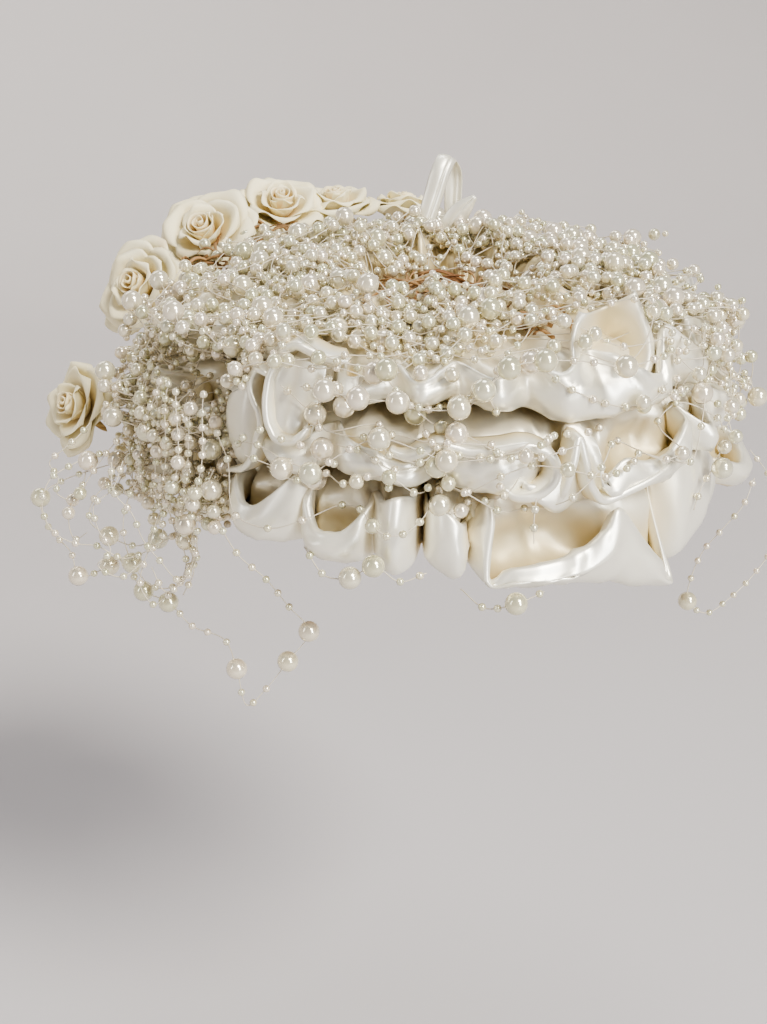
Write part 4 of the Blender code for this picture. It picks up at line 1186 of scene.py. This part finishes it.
chains = [
    dict(name="chainUpper", route=[
        (-32, 16, 2), (-25.9, 11.7, 1, 1), (-21.4, 13.4, 1, 1), (-15.4, 20.3, 1, 1), (-10, 16.5, 1),
        (-7.2, 12.9, 1, 1), (-2, 8, 1), (6, 6.5, 1), (14, 9, 1)]),
    dict(name="chainLower", route=[
        (-34, 1, 2), (-26.1, -1.3, 1, 1), (-25, 3, 1), (-23.5, 5.9, 1, 1), (-17, 7, 1), (-9, 4, 1),
        (-2.6, 5.1, 1, 1), (-0.5, 1, 1, 2), (-1.9, -3.2, 1, 1), (1.8, -4, 1, 2), (7, -2, 1), (12, 3, 1)]),
    dict(name="chainCross", route=[
        (-6, 14, 1), (1.8, 15.1, 1, 1), (5.5, 17.7, 1, 1), (11.3, 21.7, 1, 1), (16, 22.2, 1, 1),
        (22, 17, 1), (30, 13, 1), (38, 11, 1, 2), (46, 14, 1)]),
    dict(name="chainCrown", route=[
        (-8, 40, 6), (15.4, 43.3, 6, 1), (34, 34, 6, 2), (52.4, 26.6, 6, 1), (64.1, 25.8, 6, 2),
        (78, 27, 6), (89.9, 31.5, 6, 1), (104, 27, 6, 2), (118, 24, 6, 1), (132, 22, 6)]),
    dict(name="chainRight", route=[
        (44, 12, 2), (55.5, 9, 5, 1), (59, 4, 5), (58.2, 0.8, 5, 2), (61.1, -2.7, 5, 2), (57, -5, 5, 1),
        (53, -8, 2), (50, -12, 2)]),
]


def readStops(route):
    # the places of the stops, which of them carry a pearl, and the radius it has
    places = np.array([stop[:3] for stop in route], float)
    kind = np.array([(*stop, 0)[3] for stop in route])
    return places, kind > 0, np.where(kind == 1, garland["largeRadius"], garland["middleRadius"])


def stringBeads(name, node, path, large, sizes, random):
    # seed beads every pitch of the path except where a larger pearl sits
    before, after = garland["ends"]
    at = np.arange(before, lengthsAlong(path)[-1] - after, garland["pitch"])
    seeds = readAlong(path, at + random.uniform(-garland["jitter"], garland["jitter"], len(at)))
    if len(large):
        clear = (np.linalg.norm(seeds[:, None] - large[None], axis=-1) - sizes).min(axis=1)
        seeds = seeds[clear > garland["seedRadius"] + garland["pearlGap"]]
    points = np.concatenate((seeds, large))
    radii = np.concatenate((np.full(len(seeds), garland["seedRadius"]), sizes))
    parts = beadMesh(points, radii, random.uniform(0, 1, len(points)))
    makePiece(name, [*parts, lineMesh(path)], node, [pearlCoat, nylon])


def makeChain(chain, random):
    # the route read finely in azimuth and elevation, and set down at the satin's reach plus its height
    route, carries, radii = readStops(chain["route"])
    fine = evenPath(route, 30 * len(route))
    path = evenPath(worn(overSatin(*fine.T))[::6], 10 * len(route))
    spots = worn(overSatin(route[:, 0], route[:, 1], route[:, 2] + radii - 1))
    stringBeads(chain["name"], None, path, spots[carries], radii[carries], random)


for chain in chains:
    makeChain(chain, np.random.default_rng(hat["seed"] + len(chain["route"])))


# Curtain: short strands that hang close together down the left side

curtain = {
    "strands": 16,
    "from": -47.0,
    "to": -104.0,
    "top": -10.0,
    "bottom": -66.0,
    "radius": 124.0,
    "pitch": 5.2,
    "middle": 0.12,             # share of middle beads
    "steps": 30,
    "tuck": 8.0,                # how far the top of a strand lies further in
    "sway": (1, 3),             # degrees
}


def makeCurtain():
    # each strand hangs from the top to the bottom with a slow sway in azimuth, tucked in a little at its top
    random = np.random.default_rng(hat["seed"])
    parts = []
    for azimuth in np.linspace(curtain["from"], curtain["to"], curtain["strands"]):
        azimuth = azimuth + random.uniform(-1.6, 1.6)
        t = np.linspace(0, 1, curtain["steps"])
        top = curtain["top"] + random.uniform(-4, 4)
        height = top + t * (curtain["bottom"] - curtain["top"] + random.uniform(-5, 9))
        radius = curtain["radius"] + random.uniform(-2, 2) - curtain["tuck"] * (1 - t) ** 3
        sway = random.uniform(*curtain["sway"]) * np.sin(2 * np.pi * (0.9 * t + random.uniform(0, 1)))
        path = worn(level(azimuth + sway, radius, height))
        at = np.arange(1.5, lengthsAlong(path)[-1], curtain["pitch"])
        beads = readAlong(path, at + random.uniform(-0.8, 0.8, len(at)))
        isMiddle = random.uniform(0, 1, len(at)) < curtain["middle"]
        radii = np.where(isMiddle, garland["middleRadius"], garland["seedRadius"])
        parts.extend([*beadMesh(beads, radii, random.uniform(0, 1, len(at))), lineMesh(path)])
    makePiece("garlandCurtain", parts, None, [pearlCoat, nylon])


makeCurtain()
print("chains and curtain hung")


# Single strings in worn millimetres: the large pearls where the photograph shows them, seed beads between.
# A fourth number sets a pearl as in the chains

strings = [
    dict(name="stringLeftLong", node="pearl_string_left_long", route=[
        (-80, -86, -62), (-74, -87, -72), (-65, -84, -82), (-57, -79, -95), (-50, -76, -106, 1),
        (-58, -76, -118, 1), (-67, -76, -130), (-73, -76, -136), (-77, -76, -121, 1), (-82, -66, -114),
        (-96, -58, -111), (-105, -52, -104, 1), (-115, -48, -101, 1), (-124, -40, -91),
        (-130, -36, -95, 1), (-143, -34, -100, 1), (-146, -30, -92), (-155, -26, -83),
        (-159, -20, -72, 1), (-152, -10, -68), (-142, -2, -66), (-131, 4, -64)]),
    dict(name="stringLeftShort", node="pearl_string_left_short", route=[
        (-127, -30, -62), (-134, -33, -67), (-137, -34, -77), (-129, -38, -82, 1), (-118, -44, -84),
        (-108, -50, -79, 1), (-96, -60, -76, 1), (-93, -63, -86), (-98, -60, -98)]),
    dict(name="stringRight", node="pearl_string_right", route=[
        (129, -3, -69), (124, -8, -79), (116, -9, -89), (109, -8, -99), (105, -8, -110),
        (104, -8, -121, 1), (113, -4, -128), (124, 4, -125), (136, 12, -117), (146, 18, -104),
        (147, 20, -88), (140, 18, -73), (131, 15, -62)]),
    dict(name="stringBrim", node="pearl_string_brim", route=[
        (-50, -96, -66), (-42, -104, -74), (-34, -108, -73, 1), (-26, -110, -68, 1), (-17, -109, -74),
        (-8, -106, -72)]),
    dict(name="stringBoat", node="pearl_string_boat", route=[
        (32, -108, -78), (22, -114, -80, 1), (12, -108, -84), (4, -100, -80)]),
    dict(name="stringFrontHigh", node="pearl_string_front_high", route=[
        (-50, -98, -9), (-42, -104, -9, 1), (-31, -107, -11, 1), (-18, -108, -12, 1), (-6, -107, -15),
        (2, -108, -14, 1), (10, -108, -8, 1), (18, -107, -1, 1), (30, -105, 1, 1), (43, -101, 0),
        (58, -95, -3, 1), (70, -86, -2), (77, -78, -2)]),
    dict(name="stringFrontLow", node="pearl_string_front_low", route=[
        (-70, -93, -34), (-57, -99, -37, 1), (-47, -105, -37, 1), (-37, -107, -30), (-24, -109, -24, 1),
        (-12, -111, -27), (-2, -111, -31, 1), (12, -112, -30), (28, -111, -30), (42, -106, -27)]),
    dict(name="stringLeftInner", route=[
        (-93, -60, -49), (-100, -62, -56), (-105, -62, -65), (-109, -62, -77), (-113, -60, -97),
        (-109, -60, -102), (-105, -60, -99), (-97, -62, -90), (-93, -64, -78), (-95, -66, -72),
        (-98, -66, -69), (-89, -70, -57), (-83, -74, -45)]),
    dict(name="stringLeftOuter", route=[
        (-112, -50, -52), (-118, -50, -62), (-121, -50, -74), (-118, -52, -88, 1), (-110, -54, -97),
        (-101, -58, -95), (-96, -62, -84), (-100, -62, -70), (-104, -58, -56)]),
    dict(name="stringLeftBraid", route=[
        (-136, -52, -48), (-146, -56, -54), (-149, -58, -64), (-145, -58, -74), (-138, -58, -78),
        (-130, -58, -79), (-120, -58, -84), (-109, -58, -80), (-99, -58, -73), (-96, -62, -62)]),
    dict(name="stringLeftFork", route=[
        (-118, -58, -46), (-122, -62, -56), (-129, -62, -62), (-128, -62, -71), (-124, -62, -80),
        (-129, -62, -85), (-121, -62, -90), (-112, -62, -84)]),
    dict(name="stringLeftCross", route=[
        (-122, -60, -46), (-121, -64, -56), (-115, -64, -64), (-111, -64, -75), (-106, -64, -82),
        (-98, -66, -90), (-92, -68, -80), (-90, -70, -66)]),
    dict(name="stringLeftTail", route=[
        (-104, -62, -50), (-102, -66, -59), (-95, -66, -68, 1), (-91, -66, -77), (-95, -66, -88),
        (-104, -64, -95), (-109, -62, -86)]),
    dict(name="stringRose", route=[
        (-136, -26, -40), (-142, -30, -46), (-147, -30, -50), (-152, -30, -55), (-149, -30, -61),
        (-150, -30, -67), (-144, -30, -70, 2), (-139, -30, -62), (-137, -30, -54, 1), (-128, -34, -49)]),
    dict(name="stringRoseDrop", route=[
        (-122, -36, -42), (-129, -34, -50), (-135, -34, -58), (-140, -34, -66, 2), (-145, -34, -74, 2),
        (-143, -36, -84), (-137, -40, -80)]),
    dict(name="stringDrop", route=[
        (28, -110, -44), (27, -114, -50), (27, -116, -58)]),
]


def makeString(string, random):
    # a smooth line through the route with the larger pearls at their stops
    route, carries, radii = readStops(string["route"])
    path = evenPath(route, 12 * len(route))
    stringBeads(string["name"], string.get("node"), path, route[carries], radii[carries], random)


for string in strings:
    makeString(string, np.random.default_rng(hat["seed"] + len(string["route"])))
print("strings hung")


# Stage: a pale floor that turns up into a far wall all round, soft lights, and the camera

stage = {
    "floorHeight": -0.36,
    "floorRadius": 1.9,
    "wallRadius": 3.4,
    "wallHeight": 2.6,
    "around": 96,
    "lampAim": (0.0, 0.0, -0.03),
    "worldColour": (0.86, 0.86, 0.90, 1.0),
    "worldStrength": 0.20,
    "look": "AgX - Medium High Contrast",
    "cameraPlace": (-0.0226, -0.554, 0.0954),
    "cameraPitch": 72.0,
    "lens": 49.46,
}

# kind, place, size (a sun's angle in degrees, a box's width and height), power, colour
lamps = {
    "keySun": ("SUN", (0.55, -0.62, 0.78), 20.0, 3.6, (1.0, 0.965, 0.90)),
    "backSun": ("SUN", (-0.50, 0.75, 0.60), 40.0, 0.9, (1.0, 0.97, 0.94)),
    "rightBox": ("AREA", (0.55, -0.80, 0.20), (0.12, 0.5), 6.0, (0.92, 0.96, 1.0)),
    "leftBox": ("AREA", (-0.80, -0.55, 0.35), (0.12, 0.6), 1.3, (0.95, 0.97, 1.0)),
    "topBox": ("AREA", (0.05, 0.15, 0.80), (0.3, 0.3), 2.0, (0.95, 0.97, 1.0)),
}


def makeStage():
    # a bowl: flat to the floor radius, then a quarter circle up to the wall
    bend = np.linspace(0, np.pi / 2, 16)
    turn = stage["wallRadius"] - stage["floorRadius"]
    radius = np.concatenate(([0.0, 0.5], stage["floorRadius"] + turn * np.sin(bend), [stage["wallRadius"]]))
    height = np.concatenate(([0.0, 0.0], turn * (1 - np.cos(bend)), [stage["wallHeight"]]))
    height = height + stage["floorHeight"]
    angle = np.arange(stage["around"]) * 2 * np.pi / stage["around"]
    points = np.stack(np.broadcast_arrays(radius[:, None] * np.cos(angle), radius[:, None] * np.sin(angle),
                                          height[:, None]), axis=-1)
    quads = gridFaces(len(radius), stage["around"], closedColumns=True)
    mesh = bpy.data.meshes.new("paleFloor")
    mesh.from_pydata(points.reshape(-1, 3).tolist(), [], quads.tolist())
    mesh.shade_smooth()
    floor = bpy.data.objects.new("paleFloor", mesh)
    plaster = Finish("palePlaster", Roughness=0.85, Specular_IOR_Level=0.2)
    mesh.materials.append(plaster.paint(Base_Color=plaster.mix(plaster.noise(3.0), (0.55, 0.525, 0.525),
                                                               (0.58, 0.555, 0.555))))
    bpy.context.scene.collection.objects.link(floor)
    floor.visible_shadow = False    # the low key light shines in over the bowl's edge


def addLamp(name, kind, place, size, power, colour):
    # a sun shines along the line from its place to the origin, a box is turned to the lamp aim
    lamp = bpy.data.lights.new(name, kind)
    if kind == "SUN":
        lamp.angle = math.radians(size)
        aim = (0.0, 0.0, 0.0)
    else:
        lamp.shape = "RECTANGLE"
        lamp.size, lamp.size_y = size
        aim = stage["lampAim"]
    lamp.energy = power
    lamp.color = colour
    light = bpy.data.objects.new(name, lamp)
    light.location = place
    light.rotation_euler = (Vector(place) - Vector(aim)).to_track_quat("Z", "Y").to_euler()
    bpy.context.scene.collection.objects.link(light)


def makeCamera():
    # looks along +Y, down by 90 degrees less the pitch
    camera = bpy.data.objects.new("camera", bpy.data.cameras.new("camera"))
    camera.data.lens = stage["lens"]
    camera.data.clip_start = 0.01
    camera.location = stage["cameraPlace"]
    camera.rotation_euler = (math.radians(stage["cameraPitch"]), 0, 0)
    bpy.context.scene.collection.objects.link(camera)
    bpy.context.scene.camera = camera


makeStage()
for name, values in lamps.items():
    addLamp(name, *values)
world = bpy.data.worlds.new("studio")
world.use_nodes = True
background = world.node_tree.nodes["Background"]
background.inputs["Color"].default_value = stage["worldColour"]
background.inputs["Strength"].default_value = stage["worldStrength"]
bpy.context.scene.world = world
bpy.context.scene.view_settings.look = stage["look"]
makeCamera()
print("stage set")
